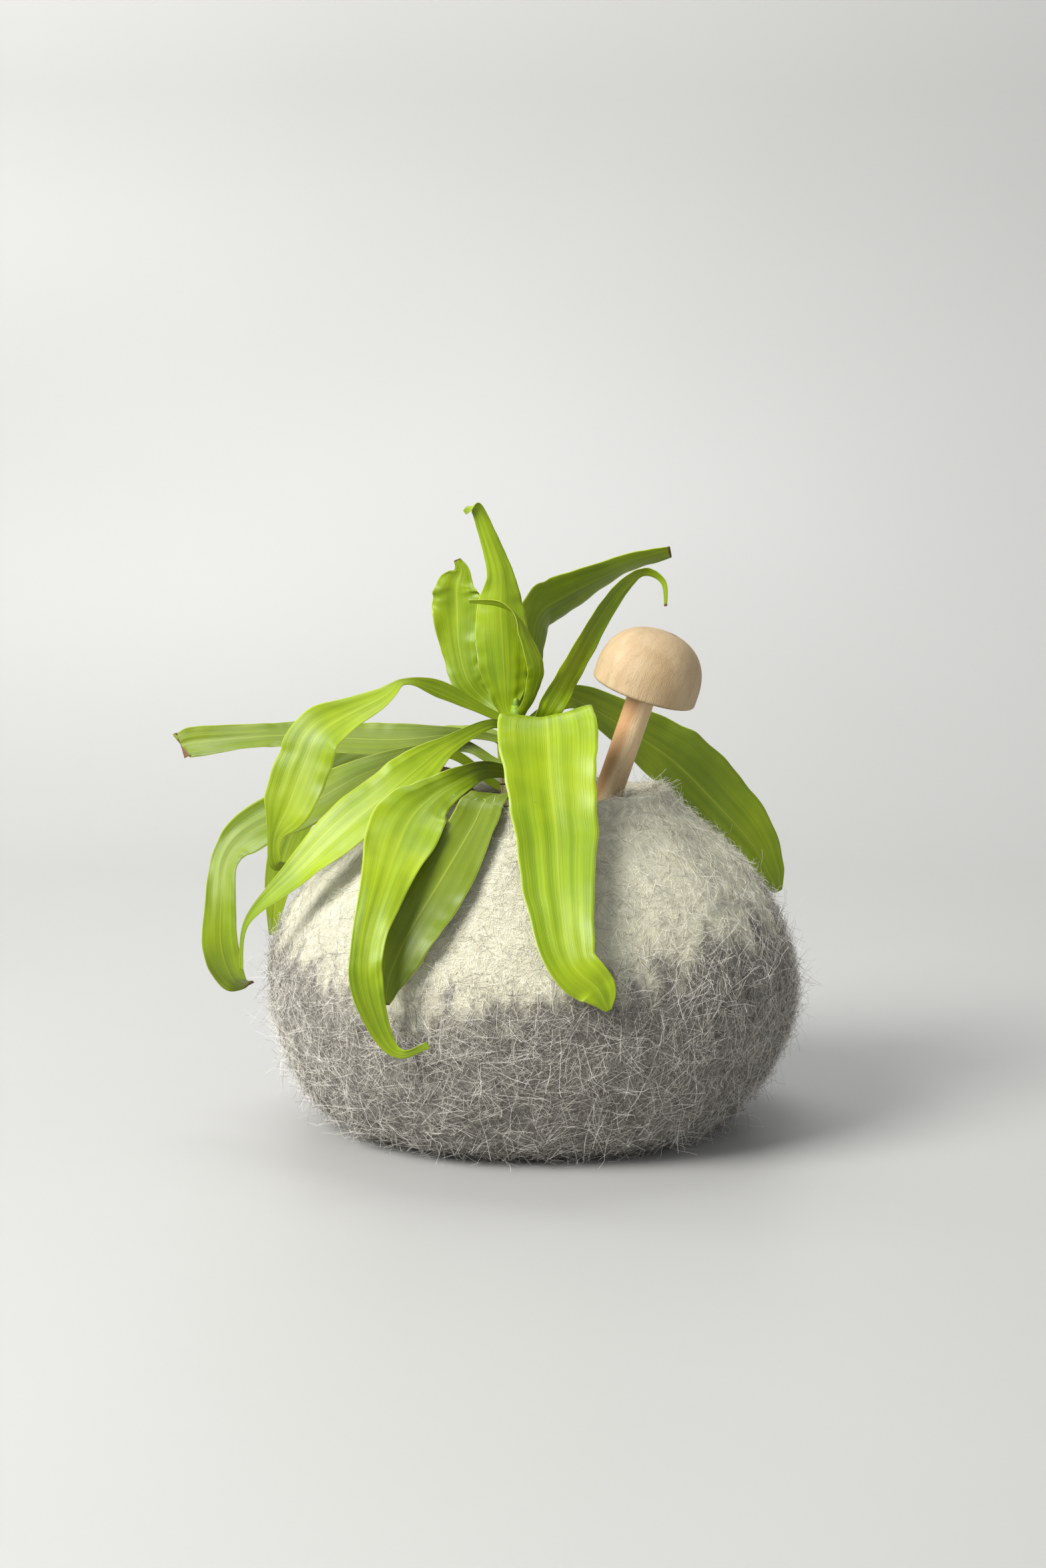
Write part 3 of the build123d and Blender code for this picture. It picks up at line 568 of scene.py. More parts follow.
# Each leaf: the way it faces, how far over the rim it leaves the shoot, its half width there, and its
# stations from base to tip. Roll turns the blade about its own line; 0 lies flat across the way it faces.
LEAVES = {
    "leaf_front": (-85, 16, 3.0, [
        over(0, -14, 27, 7, 5), over(5, -32, 38, 18, 5), over(6, -46, 32, 22, 5), over(7, -61, 15, 20, 5),
        beside(-83, 0.95, 9, 18, 5), beside(-84, 0.80, 10, 15, 10), beside(-83, 0.64, 10, 11, 5),
        beside(-78, 0.56, 9, 8, 0), beside(-76, 0.50, 8, 1.5, -5)]),
    "leaf_left_front": (-150, 9, 2.5, [
        over(-22, -22, 13, 4, -80), over(-32, -40, 11, 6, -55), over(-45, -57, 5, 10, -45),
        beside(-127, 0.97, 24, 16, -45), beside(-122, 0.82, 30, 10, -50), beside(-121, 0.67, 26, 7, -55),
        beside(-120, 0.56, 22, 7, -65), beside(-118, 0.42, 15, 4, -70), beside(-115, 0.37, 12.5, 2, -85),
        beside(-110, 0.40, 10, 1.5, -110)]),
    "leaf_front_under": (-115, -4, 3.0, [
        over(-14, -36, 4, 5, 5), over(-21, -57, 4, 9.5, -8), beside(-111, 0.96, 7, 10.6, -10),
        beside(-114, 0.83, 9, 14, -14), beside(-117, 0.70, 9, 12.5, -18), beside(-119, 0.58, 9, 8, -22),
        beside(-119, 0.50, 9, 1.5, -22)]),
    "leaf_left_long": (-155, 27, 1.8, [
        over(-19, -15, 33, 2.2, -75), over(-38, -29, 25, 4.5, -60), over(-51, -38, 16, 9.5, -50),
        over(-66, -45, 4, 11.5, -40), beside(-150, 0.92, 27, 11.5, -35), beside(-154, 0.80, 24, 7, -35),
        beside(-159, 0.66, 25, 1.6, -45), beside(-158, 0.52, 20, 0.8, -60)]),
    "leaf_left_twisted": (-160, 30, 1.8, [
        over(-23, -3, 38, 2.5, -65), over(-43, -8, 48, 4.3, -65), over(-58, -16, 52, 1.8, -45),
        over(-68, -21, 45, 6, -35), over(-93, -30, 32, 12.4, -40), over(-101, -33, 18, 13.4, -50),
        beside(-162, 0.99, 49, 11.5, -55), beside(-163, 0.90, 44, 3.5, -60), beside(-163, 0.82, 30, 3, -65),
        beside(-164, 0.81, 23, 1.4, -75)]),
    "leaf_far_left": (170, 22, 1.8, [
        over(-29, 5, 26, 2.4, -65), over(-61, 10, 23, 7.6, -60), over(-86, 14, 23, 8.1, -55),
        over(-110, 18, 24, 7.1, -50), over(-129, 20, 23, 6.3, -55), over(-157, 24, 20, 7.1, -70),
        over(-163, 24, 18, 6, -70)]),
    "leaf_left_low": (-175, 0, 1.8, [
        over(-18, -1, 4, 2.3, -50), over(-41, -4, 19, 3.3, -50), over(-74, -4, 10, 8.2, -40),
        beside(-176, 0.98, 33, 11.3, -55), beside(-175, 0.89, 50, 10.5, -55), beside(-174, 0.81, 48, 7, -62),
        beside(-171, 0.68, 34, 7.4, -72), beside(-170, 0.55, 24.5, 8.6, -72),
        beside(-171, 0.45, 17, 7.8, -50), beside(-173, 0.43, 9.5, 2.4, -38)]),
    "leaf_left_back": (160, 10, 1.8, [
        over(-19, 4, 14, 2.2, -45), over(-32, 10, 20, 3, -60), over(-55, 24, 19, 7, -60),
        over(-79, 32, 12, 9.3, -60), beside(159, 0.97, 41, 10, -65), beside(160, 0.84, 33, 9, -75),
        beside(161, 0.70, 20, 7.6, -85), beside(162, 0.51, 10, 1.8, -90)]),
    "leaf_back_left": (135, 17, 1.8, [
        over(-19, 11, 25, 2.9, -40), over(-33, 26, 24, 5, -35), over(-50, 45, 19, 8, -25),
        over(-60, 60, 6, 10, -20), beside(133, 0.90, 12, 11, -15), beside(132, 0.70, 11, 9, -10),
        beside(131, 0.52, 10, 5, -5), beside(130, 0.40, 10, 1.5, 0)]),
    "leaf_back": (85, 13, 2.5, [
        over(-5, 26, 22, 7, 0), over(-3, 49, 24, 11, 0), over(-3, 71, 13, 14, 0),
        beside(92, 0.93, 14, 15, 5), beside(92, 0.76, 12, 15, 10), beside(93, 0.57, 10, 12, 10),
        beside(94, 0.38, 10, 6, 20), beside(95, 0.30, 10, 1.2, 0)]),
    "leaf_upright_left": (145, 31, 2.0, [
        over(-21, 11, 40, 4.2, -70), over(-30, 13, 50, 7, -70), over(-34, 16, 65, 8.6, -70),
        over(-35, 18, 84, 11.4, -65), over(-35, 18, 93, 9.4, -65), over(-33, 18, 100, 4, -60),
        over(-35, 18, 105, 1.4, -60)]),
    "leaf_upright_tall": (240, 29, 3.0, [
        over(-12, 1, 38, 5, 12), over(-13, -1, 49, 9.5, 22), over(-14, -2, 65, 11.9, 30),
        over(-15, -1, 84, 10.6, 30), over(-15, 0, 99, 6.2, 35), over(-20, 2, 115, 4.2, 40),
        over(-26, 3, 129, 2.8, 30), over(-31, 0, 127, 1.2, -40)]),
    "leaf_young": (200, 34, 2.0, [
        over(-3, -4, 41, 2.4, 90), over(0, -7, 50, 3.5, 92), over(1, -10, 59, 4.2, 95),
        over(-4, -12, 73, 3, 110), over(-8, -12, 82, 2.2, 160), over(-16, -12, 87, 1.9, 220),
        over(-29, -12, 88, 0.7, 240)]),
    "leaf_right_narrow": (45, 22, 2.4, [
        over(3, -9, 33, 4.2, 62), over(9, -11, 43, 6, 66), over(18, 0, 58, 5.8, 82), over(32, 16, 81, 5, 80),
        over(44, 26, 95, 3.4, 95), over(52, 28, 99, 2.2, 125), over(60, 28, 94, 1.4, 160),
        over(61, 27, 83, 0.7, 140)]),
    "leaf_right_arching": (40, 32, 2.4, [
        over(-3, 9, 43, 3.6, -100), over(-1, 15, 57, 6.5, -95), over(2, 24, 78, 11.4, -82),
        over(14, 32, 87, 11.9, -70), over(44, 40, 101, 7.8, -50), over(64, 41, 107, 4, -55)]),
    "leaf_right_back": (30, 27, 2.4, [
        over(13, 14, 40, 4.2, 60), over(24, 21, 38, 9.3, 60), over(54, 38, 18, 15.1, 70),
        over(70, 46, 5, 18, 80), beside(31, 0.91, 28, 17, 88), beside(26, 0.80, 21, 13.8, 92),
        beside(21, 0.70, 13, 8, 96), beside(19, 0.65, 11, 2, 100)]),
    "dried_leaf": (-150, -9, 2.2, [
        over(-22, -10, -3, 3.2, -20), over(-31, -13, 4, 4.4, -45), over(-40, -15, 9, 4.6, -70),
        over(-46, -15, 7, 2.4, -80)]),
}

# Each leaf's painted shade (how much its whole green is darkened where the leaf sits in shade), how brown its
# tip is, and how wavy its edges are
PLAIN_TONE = (0.0, 0.15, 1.0)
LEAF_TONES = {
    "leaf_front": (0.0, 0.0, 0.7),
    "leaf_left_front": (0.0, 0.3, 1.9),
    "leaf_front_under": (0.65, 0.6, 1.1),
    "leaf_left_long": (0.0, 0.0, 1.0),
    "leaf_left_twisted": (0.2, 0.2, 1.1),
    "leaf_far_left": (0.55, 1.0, 1.0),
    "leaf_left_low": (0.40, 1.0, 1.3),
    "leaf_left_back": (0.45, 0.0, 0.8),
    "leaf_back_left": (0.3, 0.5, 1.0),
    "leaf_back": (0.25, 0.0, 0.8),
    "leaf_upright_left": (0.12, 0.7, 1.5),
    "leaf_upright_tall": (0.0, 0.3, 1.2),
    "leaf_right_back": (0.25, 0.1, 0.6),
    "leaf_right_narrow": (0.0, 0.6, 1.6),
    "leaf_right_arching": (0.05, 0.5, 1.0),
}


def along(stations, t):
    """Smooth value through the stations at t, counted in stations: a Catmull-Rom curve."""
    last = len(stations) - 1
    i = min(int(t), last - 1)
    u = t - i
    before = stations[max(i - 1, 0)]
    after = stations[min(i + 2, last)]
    values = []
    for p0, p1, p2, p3 in zip(before, stations[i], stations[i + 1], after):
        bend = 2 * p0 - 5 * p1 + 4 * p2 - p3
        values.append(p1 + 0.5 * u * (p2 - p0 + u * (bend + u * (3 * p1 - p0 - 3 * p2 + p3))))
    return values


LEAF_ALONG = 130
LEAF_ACROSS = 26
LEAF_SKIN = 0.28
LEAST_HALF_WIDTH = 0.35
CHANNEL = 0.16
RIB_HEIGHT = 0.04
FOLD_HEIGHT = 0.62
NOTCH_DEPTH = 0.05
TORN_DEPTH = 0.25
DRY_TIP_SHARE = 0.05


def leaf_ring(stations, t, facing):
    """Where the blade's line is at t, with its side and upper directions and its half width."""
    x, y, z, half_width, roll = along(stations, t)
    ahead = Vector(along(stations, min(t + 0.02, len(stations) - 1))[:3])
    behind = Vector(along(stations, max(t - 0.02, 0))[:3])
    run = (ahead - behind).normalized()
    turn = math.radians(facing + 90)
    flat = Vector((math.cos(turn), math.sin(turn), 0))
    side = (flat - run * flat.dot(run)).normalized()
    side.rotate(Matrix.Rotation(math.radians(roll), 3, run))
    return Vector((x, y, z)), side, run.cross(side), max(half_width, LEAST_HALF_WIDTH)


def leaf_blade(name, facing, root_rise, root_half_width, stations, seed, tone, paint):
    """Thin closed blade with a folded channel, long ribs and a wavy edge."""
    # The first value is painted shade, which darkens the whole leaf.
    painted_shade, dry, frills = tone
    root = over(CANE_X, 0, root_rise, root_half_width, stations[0][4])
    line = [root] + stations
    spans = len(line) - 1
    start = 0.25 / spans
    columns = LEAF_ACROSS + 1
    upper, lower, uvs, dryness = [], [], [], []
    for i in range(LEAF_ALONG + 1):
        share = start + (1 - start) * i / LEAF_ALONG
        middle, side, up, half = leaf_ring(line, share * spans, facing)
        tip = 1 - share
        for j in range(columns):
            w = 2 * j / LEAF_ACROSS - 1
            ripple = noise.noise(Vector((share * 9 + seed * 7, w * 0.9, seed)))
            frill = noise.noise(Vector((share * 26 + seed * 3, w * 1.5 + 5, seed)))
            fold = CHANNEL * half * abs(w) ** 1.4
            folds = noise.noise(Vector((w * 2.2 + seed * 5, share * 1.6, seed)))
            ribs = FOLD_HEIGHT * folds + RIB_HEIGHT * math.cos(w * 19)
            ribs *= min(half / 9, 1) * (1 - 0.5 * w * w)
            wave = frills * (0.15 * ripple + 0.07 * frill) * half * abs(w) ** 1.6
            notch = NOTCH_DEPTH + TORN_DEPTH * smooth_step(tip, 0.06, 0.0)
            nibble = 1 + notch * noise.noise(Vector((share * 22, seed * 2.7, 3 if w > 0 else -3)))
            spot = middle + side * (w * half * nibble) + up * (fold + ribs + wave)
            edge = 1 - 0.55 * w * w
            upper.append((spot + up * LEAF_SKIN * edge) * MM)
            lower.append((spot - up * LEAF_SKIN * edge) * MM)
            uvs.append((j / LEAF_ACROSS, share * spans))
            dryness.append(dry * smooth_step(tip, DRY_TIP_SHARE, 0.0) * 1.2)
    points = upper + lower
    shift = len(upper)
    faces = []
    for i in range(LEAF_ALONG):
        for j in range(LEAF_ACROSS):
            a = i * columns + j
            b, c, d = a + 1, a + columns + 1, a + columns
            faces.append((a, d, c, b))
            faces.append((a + shift, b + shift, c + shift, d + shift))
    for i in range(LEAF_ALONG):
        a, d = i * columns, (i + 1) * columns
        faces.append((a, a + shift, d + shift, d))
        a, d = a + LEAF_ACROSS, d + LEAF_ACROSS
        faces.append((a, d, d + shift, a + shift))
    for j in range(LEAF_ACROSS):
        faces.append((j, j + 1, j + 1 + shift, j + shift))
        a = LEAF_ALONG * columns + j
        faces.append((a + 1, a, a + shift, a + 1 + shift))
    made = mesh_object(name, points, faces, paint)
    layer = made.data.uv_layers.new(name="blade")
    spread = uvs + uvs
    flat = [value for loop in made.data.loops for value in spread[loop.vertex_index]]
    layer.data.foreach_set("uv", flat)
    point_values(made, "dry", dryness + dryness)
    # Painted shade: one darkening value for the whole leaf.
    point_values(made, "painted_shade", [painted_shade] * len(points))
    return made


for seed, (name, (facing, root_rise, root_half_width, stations)) in enumerate(LEAVES.items()):
    tone = LEAF_TONES.get(name, PLAIN_TONE)
    paint = DRIED if name == "dried_leaf" else LEAF
    blade = leaf_blade(name + "_blade", facing, root_rise, root_half_width, stations, seed, tone, paint)
    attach(blade, "plant")
    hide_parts(name)
    "dried_leaf" if name == "dried_leaf" else "leaf_green"


# ================================================================ shoot
SHOOT_TURNS = 40
SHEATHS = 7
SHEATH_ROWS = 8
SHEATH_SKIN = 0.9
SHEATH_STEP = 0.55
SHEATH_SLANT = 1.6
SHEATH_TURN = 2.4
SHOOT_TOP_DROP = 3.0
SHOOT_TIP_DROP = 2.5


def shoot_sheaths():
    """Shoot wrapped in the stepped feet of its leaves, thin at the top."""
    low, high = (Vector(corner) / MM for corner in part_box("shoot"))
    foot_radius = (high.x - low.x) / 2
    rows = SHEATHS * SHEATH_ROWS
    points = []
    for i in range(rows + 1):
        share = i / rows
        step = share * SHEATHS % 1
        radius = foot_radius * (1 - share) ** 0.75 + SHEATH_SKIN
        radius += SHEATH_STEP * (step - 0.5) * (1 - share)
        height = low.z + (high.z - low.z - SHOOT_TOP_DROP) * share
        first_side = SHEATH_TURN * math.floor(share * SHEATHS)
        for j in range(SHOOT_TURNS):
            bearing = 2 * math.pi * j / SHOOT_TURNS
            slant = SHEATH_SLANT * math.cos(bearing - first_side) * (1 - share) * (share > 0)
            points.append((CANE_X + radius * math.cos(bearing), radius * math.sin(bearing), height + slant))
    top = len(points)
    points += [(CANE_X, 0, high.z - SHOOT_TIP_DROP), (CANE_X, 0, low.z)]
    faces = []
    for i in range(rows):
        for j in range(SHOOT_TURNS):
            k = (j + 1) % SHOOT_TURNS
            here = i * SHOOT_TURNS
            there = here + SHOOT_TURNS
            faces.append((here + j, here + k, there + k, there + j))
    last_row = rows * SHOOT_TURNS
    for j in range(SHOOT_TURNS):
        k = (j + 1) % SHOOT_TURNS
        faces.append((last_row + j, last_row + k, top))
        faces.append((k, j, top + 1))
    return mesh_object("shoot_sheaths", [Vector(point) * MM for point in points], faces, SHOOT)


sheaths = shoot_sheaths()
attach(sheaths, "plant")
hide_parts("shoot")


# ================================================================ geometry nodes helpers
class GeometryTree(Tree):
    """A geometry tree with named inputs."""

    def __init__(self, name, sockets):
        super().__init__(bpy.data.node_groups.new(name, "GeometryNodeTree"))
        face = self.tree.interface
        face.new_socket("Geometry", in_out="INPUT", socket_type="NodeSocketGeometry")
        for socket, kind in sockets.items():
            face.new_socket(socket, in_out="INPUT", socket_type="NodeSocket" + kind)
        face.new_socket("Geometry", in_out="OUTPUT", socket_type="NodeSocketGeometry")
        self.given_node = self.node("NodeGroupInput")

    def given(self, name):
        return self.out(self.given_node, name)

    def random(self, low, high, seed):
        """Random number between low and high for each element."""
        settings = {"data_type": "FLOAT"}
        return self.out(self.node("FunctionNodeRandomValue", settings, {2: low, 3: high, 8: seed}), 1)

    def vector(self, x, y, z):
        return self.out(self.node("ShaderNodeCombineXYZ", None, {0: x, 1: y, 2: z}))

    def mask(self, name):
        settings = {"data_type": "FLOAT"}
        return self.out(self.node("GeometryNodeInputNamedAttribute", settings, {"Name": name}))

    def finish(self, geometry, paint):
        """Realize the instances, set the material and connect the output."""
        real = self.out(self.node("GeometryNodeRealizeInstances", None, {0: geometry}))
        done = self.out(self.node("GeometryNodeSetMaterial", None, {"Geometry": real, "Material": paint}))
        self.node("NodeGroupOutput", None, {0: done})


def grown(name, base, tree, values):
    """New plain mesh object that a geometry tree makes from base; base keeps no modifier."""
    modifier = base.modifiers.new("grow", "NODES")
    modifier.node_group = tree.tree
    for socket, value in values.items():
        modifier[tree.tree.interface.items_tree[socket].identifier] = value
    evaluated = base.evaluated_get(bpy.context.evaluated_depsgraph_get())
    mesh = bpy.data.meshes.new_from_object(evaluated)
    mesh.name = name
    base.modifiers.remove(modifier)
    made = bpy.data.objects.new(name, mesh)
    bpy.context.scene.collection.objects.link(made)
    return made


# ================================================================ loose wool fibres
def strand_tree():
    """Tapered strands that start where a mask is high and lie along the surface, more or less lifted."""
    sockets = {"Density": "Float", "Length": "Float", "Radius": "Float", "Lift": "Float", "Curl": "Float",
               "Joints": "Int", "Mask": "String", "Seed": "Int", "Material": "Material"}
    tree = GeometryTree("strands", sockets)
    seed = tree.given("Seed")
    density = tree.mask(tree.given("Mask")) * tree.given("Density")
    inputs = {"Mesh": tree.given("Geometry"), "Density": density, "Seed": seed}
    roots = tree.node("GeometryNodeDistributePointsOnFaces", None, inputs)
    tilt = math.pi / 2 - tree.given("Lift") * tree.random(0.0, 1.0, seed + 1) ** 2.0
    tilted = tree.vector(tilt, 0.0, tree.random(0.0, 2 * math.pi, seed + 2))
    turn = tree.out(tree.node("FunctionNodeEulerToRotation", None, {0: tilted}))
    settings = {"rotation_space": "LOCAL"}
    inputs = {0: tree.out(roots, "Rotation"), 1: turn}
    lay = tree.out(tree.node("FunctionNodeRotateRotation", settings, inputs))
    inputs = {"Start": (0, 0, 0), "End": (0, 0, 1)}
    line = tree.out(tree.node("GeometryNodeCurvePrimitiveLine", None, inputs))
    inputs = {"Curve": line, "Count": tree.given("Joints")}
    jointed = tree.out(tree.node("GeometryNodeResampleCurve", None, inputs))
    length = tree.given("Length") * tree.random(0.35, 1.0, seed + 3)
    stretch = tree.vector(length, length, length)
    inputs = {"Points": tree.out(roots), "Instance": jointed, "Rotation": lay, "Scale": stretch}
    placed = tree.node("GeometryNodeInstanceOnPoints", None, inputs)
    strands = tree.out(tree.node("GeometryNodeRealizeInstances", None, {0: tree.out(placed)}))
    place = tree.out(tree.node("GeometryNodeInputPosition"))
    share = tree.out(tree.node("GeometryNodeSplineParameter"))
    inputs = {"Vector": place, "Scale": 130.0, "Detail": 2.0}
    swirl = tree.out(tree.node("ShaderNodeTexNoise", None, inputs), 1)
    bend = tree.given("Curl") * share * share
    drift = tree.scaled(tree.moved(swirl, (-0.5, -0.5, -0.5)), tree.vector(bend, bend, bend))
    x, y, z = tree.axes(tree.moved(place, drift))
    above = tree.vector(x, y, tree.math("MAXIMUM", z, tree.given("Radius")))
    bent = tree.out(tree.node("GeometryNodeSetPosition", None, {"Geometry": strands, "Position": above}))
    inputs = {"Curve": bent, "Radius": 1 - share * 0.7}
    tapered = tree.out(tree.node("GeometryNodeSetCurveRadius", None, inputs))
    inputs = {"Resolution": 3, "Radius": tree.given("Radius")}
    ring = tree.node("GeometryNodeCurvePrimitiveCircle", None, inputs)
    inputs = {"Curve": tapered, "Profile Curve": tree.out(ring), "Fill Caps": True}
    tree.finish(tree.out(tree.node("GeometryNodeCurveToMesh", None, inputs)), tree.given("Material"))
    return tree


def wool(name, colour):
    """Single wool fibre colour."""
    return material(name, lambda tree: {"Base Color": (*colour, 1.0), "Roughness": 0.75, "Sheen Weight": 0.2})


# Each coat of fibres: mask, colour, fibres for each square metre, length, radius, lift in degrees, curl
# and joints
COATS = {
    "fibres_pale": ("grey_fur", (0.97, 0.93, 0.83), 110000, 0.0150, 0.000055, 26, 0.0055, 4),
    "fibres_pale_short": ("grey_fur", (0.63, 0.60, 0.52), 125000, 0.0090, 0.000060, 38, 0.0050, 4),
    "fibres_grey": ("grey_fur", (0.315, 0.295, 0.25), 120000, 0.0100, 0.000070, 22, 0.0060, 4),
    "fibres_brown": ("grey_fur", (0.060, 0.044, 0.032), 115000, 0.0095, 0.000065, 22, 0.0060, 4),
    "fibres_cream": ("cream_fur", (0.99, 0.97, 0.84), 130000, 0.0100, 0.000055, 34, 0.0055, 4),
    "fibres_cream_low": ("cream_fur", (0.80, 0.755, 0.57), 120000, 0.0090, 0.000065, 18, 0.0060, 4),
    "hairs_dark": ("cream_fur", (0.075, 0.055, 0.04), 34000, 0.0130, 0.000042, 24, 0.0100, 6),
    "hairs_long_pale": ("grey_fur", (0.98, 0.95, 0.87), 34000, 0.0210, 0.000055, 45, 0.0110, 6),
    "hairs_long_dark": ("grey_fur", (0.12, 0.09, 0.07), 14000, 0.0180, 0.000045, 45, 0.0110, 6),
}
strands = strand_tree()
for seed, (name, coat) in enumerate(COATS.items()):
    mask, colour, density, length, radius, lift, curl, joints = coat
    values = {"Density": density, "Length": length, "Radius": radius, "Lift": math.radians(lift),
              "Curl": curl, "Joints": joints, "Mask": mask, "Seed": 10 * seed,
              "Material": wool(name, colour)}
    fibres = grown(name, felt_body, strands, values)
    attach(fibres, "vessel")


# ================================================================ potting mix
MIX_TURNS = 160
MIX_RINGS = 44
MIX_SKIN = 0.4
MIX_MOUND = 9.0
MIX_FOOT_SHARE = 0.745
STEM_HOLE_RADIUS = 7.4
STEM_HOLE_DEPTH = 16.0


def mix_height(x, y, radius, edge, top):
    """Lumpy height of the mix at a point, with a dip where the mushroom's stem goes in."""
    spread = math.hypot(x, y) / radius
    height = edge + (top - edge) * max(1 - spread * spread, 0.0) ** 0.8
    spot = Vector((x, y, 0))
    lumps = noise.noise(spot * 0.11) * 1.8 + noise.noise(spot * 0.33) + noise.noise(spot * 0.9) * 0.6
    sink = (height - VESSEL_HEIGHT) * math.tan(MUSHROOM_LEAN)
    stem_x = STEM_AT_RIM[0] / MM + sink * math.cos(LEAN_BEARING)
    stem_y = STEM_AT_RIM[1] / MM + sink * math.sin(LEAN_BEARING)
    near = math.hypot(x - stem_x, y - stem_y) / STEM_HOLE_RADIUS
    return height + lumps * smooth_step(spread, 1.0, 0.9) - STEM_HOLE_DEPTH * smooth_step(near, 1.0, 0.8)


def potting_mix():
    """Closed body of mix that fills the pot, with a lumpy top."""
    low, high = (Vector(corner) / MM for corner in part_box("potting_mix"))
    top_radius = high.x - MIX_SKIN
    foot_radius = top_radius * MIX_FOOT_SHARE
    top, foot = high.z, low.z
    edge = top - MIX_MOUND
    points = [(0, 0, mix_height(0, 0, top_radius, edge, top))]
    for ring in range(1, MIX_RINGS + 1):
        radius = top_radius * ring / MIX_RINGS
        for j in range(MIX_TURNS):
            bearing = 2 * math.pi * j / MIX_TURNS
            x, y = radius * math.cos(bearing), radius * math.sin(bearing)
            points.append((x, y, mix_height(x, y, top_radius, edge, top)))
    for j in range(MIX_TURNS):
        bearing = 2 * math.pi * j / MIX_TURNS
        points.append((foot_radius * math.cos(bearing), foot_radius * math.sin(bearing), foot + MIX_SKIN))
    points.append((0, 0, foot + MIX_SKIN))
    faces = [(0, 1 + j, 1 + (j + 1) % MIX_TURNS) for j in range(MIX_TURNS)]
    for ring in range(MIX_RINGS):
        here = 1 + ring * MIX_TURNS
        there = here + MIX_TURNS
        for j in range(MIX_TURNS):
            k = (j + 1) % MIX_TURNS
            faces.append((here + j, there + j, there + k, here + k))
    last_ring = 1 + MIX_RINGS * MIX_TURNS
    end = len(points) - 1
    faces += [(end, last_ring + (j + 1) % MIX_TURNS, last_ring + j) for j in range(MIX_TURNS)]
    made = mesh_object("mix_body", [Vector(point) * MM for point in points], faces, MIX)
    inside_edge = 1 + (MIX_RINGS - 1) * MIX_TURNS
    point_values(made, "top", [1.0 if i < inside_edge else 0.0 for i in range(len(points))])
    return made


def crumb_tree():
    """Small angular crumbs scattered over the top of the mix."""
    sockets = {"Density": "Float", "Size": "Float", "Stretch": "Float", "Seed": "Int", "Material": "Material"}
    tree = GeometryTree("crumbs", sockets)
    seed = tree.given("Seed")
    density = tree.mask("top") * tree.given("Density")
    inputs = {"Mesh": tree.given("Geometry"), "Density": density, "Seed": seed}
    spots = tree.node("GeometryNodeDistributePointsOnFaces", None, inputs)
    lump = tree.out(tree.node("GeometryNodeMeshIcoSphere", None, {"Radius": 1.0, "Subdivisions": 1}))
    spin = [tree.random(0.0, 2 * math.pi, seed + i) for i in (1, 2, 3)]
    turn = tree.out(tree.node("FunctionNodeEulerToRotation", None, {0: tree.vector(*spin)}))
    size = tree.given("Size") * tree.random(0.35, 1.0, seed + 4)
    scale = tree.vector(size * tree.given("Stretch"), size, size * tree.random(0.5, 0.9, seed + 5))
    inputs = {"Points": tree.out(spots), "Instance": lump, "Rotation": turn, "Scale": scale}
    placed = tree.out(tree.node("GeometryNodeInstanceOnPoints", None, inputs))
    real = tree.out(tree.node("GeometryNodeRealizeInstances", None, {0: placed}))
    place = tree.out(tree.node("GeometryNodeInputPosition"))
    jag = tree.out(tree.node("ShaderNodeTexNoise", None, {"Vector": place, "Scale": 900.0}), 1)
    drift = tree.scaled(tree.moved(jag, (-0.5, -0.5, -0.5)), (0.0012, 0.0012, 0.0012))
    inputs = {"Geometry": real, "Offset": drift}
    tree.finish(tree.out(tree.node("GeometryNodeSetPosition", None, inputs)), tree.given("Material"))
    return tree


def bark_paint(tree):
    """Weathered bark chips in the mix."""
    spot = tree.position()
    rough = tree.noise(spot, 500.0, 3.0, 0.6)
    return {"Base Color": tree.mix(rough, (0.05, 0.028, 0.015), (0.20, 0.125, 0.07)), "Roughness": 0.85,
            "Relief": (rough, 0.0006)}


mix_body = potting_mix()
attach(mix_body, "plant")
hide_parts("potting_mix")

# Each scatter of crumbs: material, crumbs for each square metre, size and stretch
CRUMBS = {
    "mix_crumbs": (MIX, 320000, 0.0013, 1.3),
    "bark_chips": (material("bark", bark_paint), 26000, 0.0030, 1.6),
}
FIRST_CRUMB_SEED = 40
crumbs = crumb_tree()
for seed, (name, (paint, density, size, stretch)) in enumerate(CRUMBS.items(), FIRST_CRUMB_SEED):
    values = {"Density": density, "Size": size, "Stretch": stretch, "Seed": seed, "Material": paint}
    pieces = grown(name, mix_body, crumbs, values)
    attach(pieces, "plant")


# ================================================================ floor, light and camera
FLOOR_HALF_WIDTH = 3.0
FLOOR_FRONT = -2.5
SWEEP_START = 0.7
SWEEP_RADIUS = 0.6
WALL_TOP = 3.0
CAMERA_PLACE = (-0.0048, -1.3, 0.325)
CAMERA_PITCH = 82.5
CAMERA_LENS = 66.1
SKY_COLOUR = (0.95, 0.97, 1.0, 1.0)
SKY_STRENGTH = 0.40
# Each light: place, the spot it points at, size, power and colour
LIGHTS = {
    "key": ((-1.25, -0.95, 1.35), (0, 0, 0.12), (1.0, 1.0), 66, (1.0, 0.99, 0.965)),
    "fill": ((1.5, -1.4, 0.9), (0, 0, 0.1), (1.5, 1.5), 3, (0.97, 0.98, 1.0)),
    "back": ((-0.3, 0.9, 1.6), (0, 1.3, 0.5), (1.6, 0.8), 20, (1.0, 1.0, 1.0)),
}


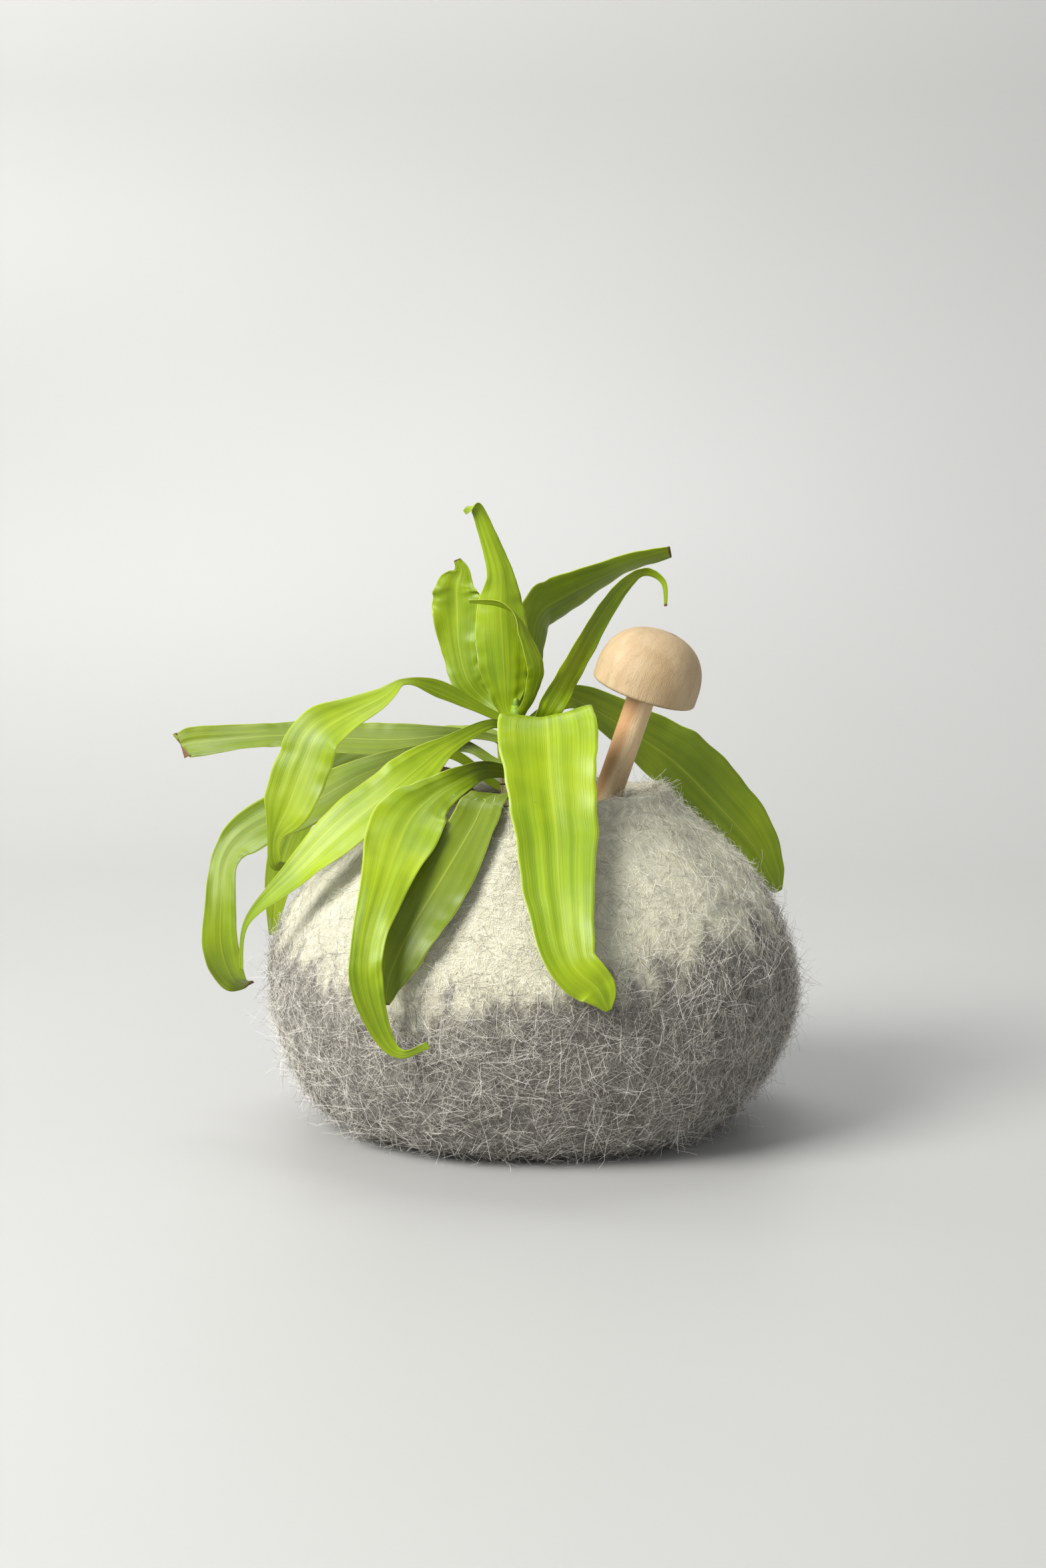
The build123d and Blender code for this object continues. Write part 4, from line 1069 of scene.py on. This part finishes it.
def floor_paint(tree):
    """Plain pale floor with a trace of cloudiness."""
    grain = tree.noise(tree.position(), 3.0, 3.0, 0.5)
    return {"Base Color": tree.mix(grain, (0.40, 0.40, 0.39), (0.43, 0.43, 0.42)), "Roughness": 0.45}


def floor():
    """Pale sweep: a floor that turns up into a wall behind."""
    rows = [(FLOOR_FRONT, 0.0), (SWEEP_START, 0.0)]
    for angle in range(6, 91, 6):
        turn = math.radians(angle)
        rows.append((SWEEP_START + SWEEP_RADIUS * math.sin(turn), SWEEP_RADIUS * (1 - math.cos(turn))))
    rows.append((SWEEP_START + SWEEP_RADIUS, WALL_TOP))
    points = []
    for y, z in rows:
        points += [(-FLOOR_HALF_WIDTH, y, z), (FLOOR_HALF_WIDTH, y, z)]
    faces = [(2 * i, 2 * i + 1, 2 * i + 3, 2 * i + 2) for i in range(len(rows) - 1)]
    mesh_object("floor", points, faces, material("floor", floor_paint))


def area_light(name, place, target, size, power, colour):
    """Rectangular light turned towards a spot."""
    light = bpy.data.lights.new(name, "AREA")
    light.shape = "RECTANGLE"
    light.size, light.size_y = size
    light.energy = power
    light.color = colour
    made = bpy.data.objects.new(name, light)
    made.location = place
    made.rotation_euler = (Vector(target) - Vector(place)).to_track_quat("-Z", "Y").to_euler()
    bpy.context.scene.collection.objects.link(made)


def light_and_camera():
    """Soft studio light from the left, a pale sky and the camera."""
    for name, settings in LIGHTS.items():
        area_light(name, *settings)
    world = bpy.data.worlds.new("studio")
    world.use_nodes = True
    sky = world.node_tree.nodes["Background"]
    sky.inputs["Color"].default_value = SKY_COLOUR
    sky.inputs["Strength"].default_value = SKY_STRENGTH
    bpy.context.scene.world = world
    camera = bpy.data.cameras.new("camera")
    camera.sensor_fit = "VERTICAL"
    camera.sensor_height = 36.0
    camera.lens = CAMERA_LENS
    made = bpy.data.objects.new("camera", camera)
    made.location = CAMERA_PLACE
    made.rotation_euler = (math.radians(CAMERA_PITCH), 0, 0)
    bpy.context.scene.collection.objects.link(made)
    bpy.context.scene.camera = made
    bpy.context.scene.view_settings.view_transform = "Standard"


floor()
light_and_camera()
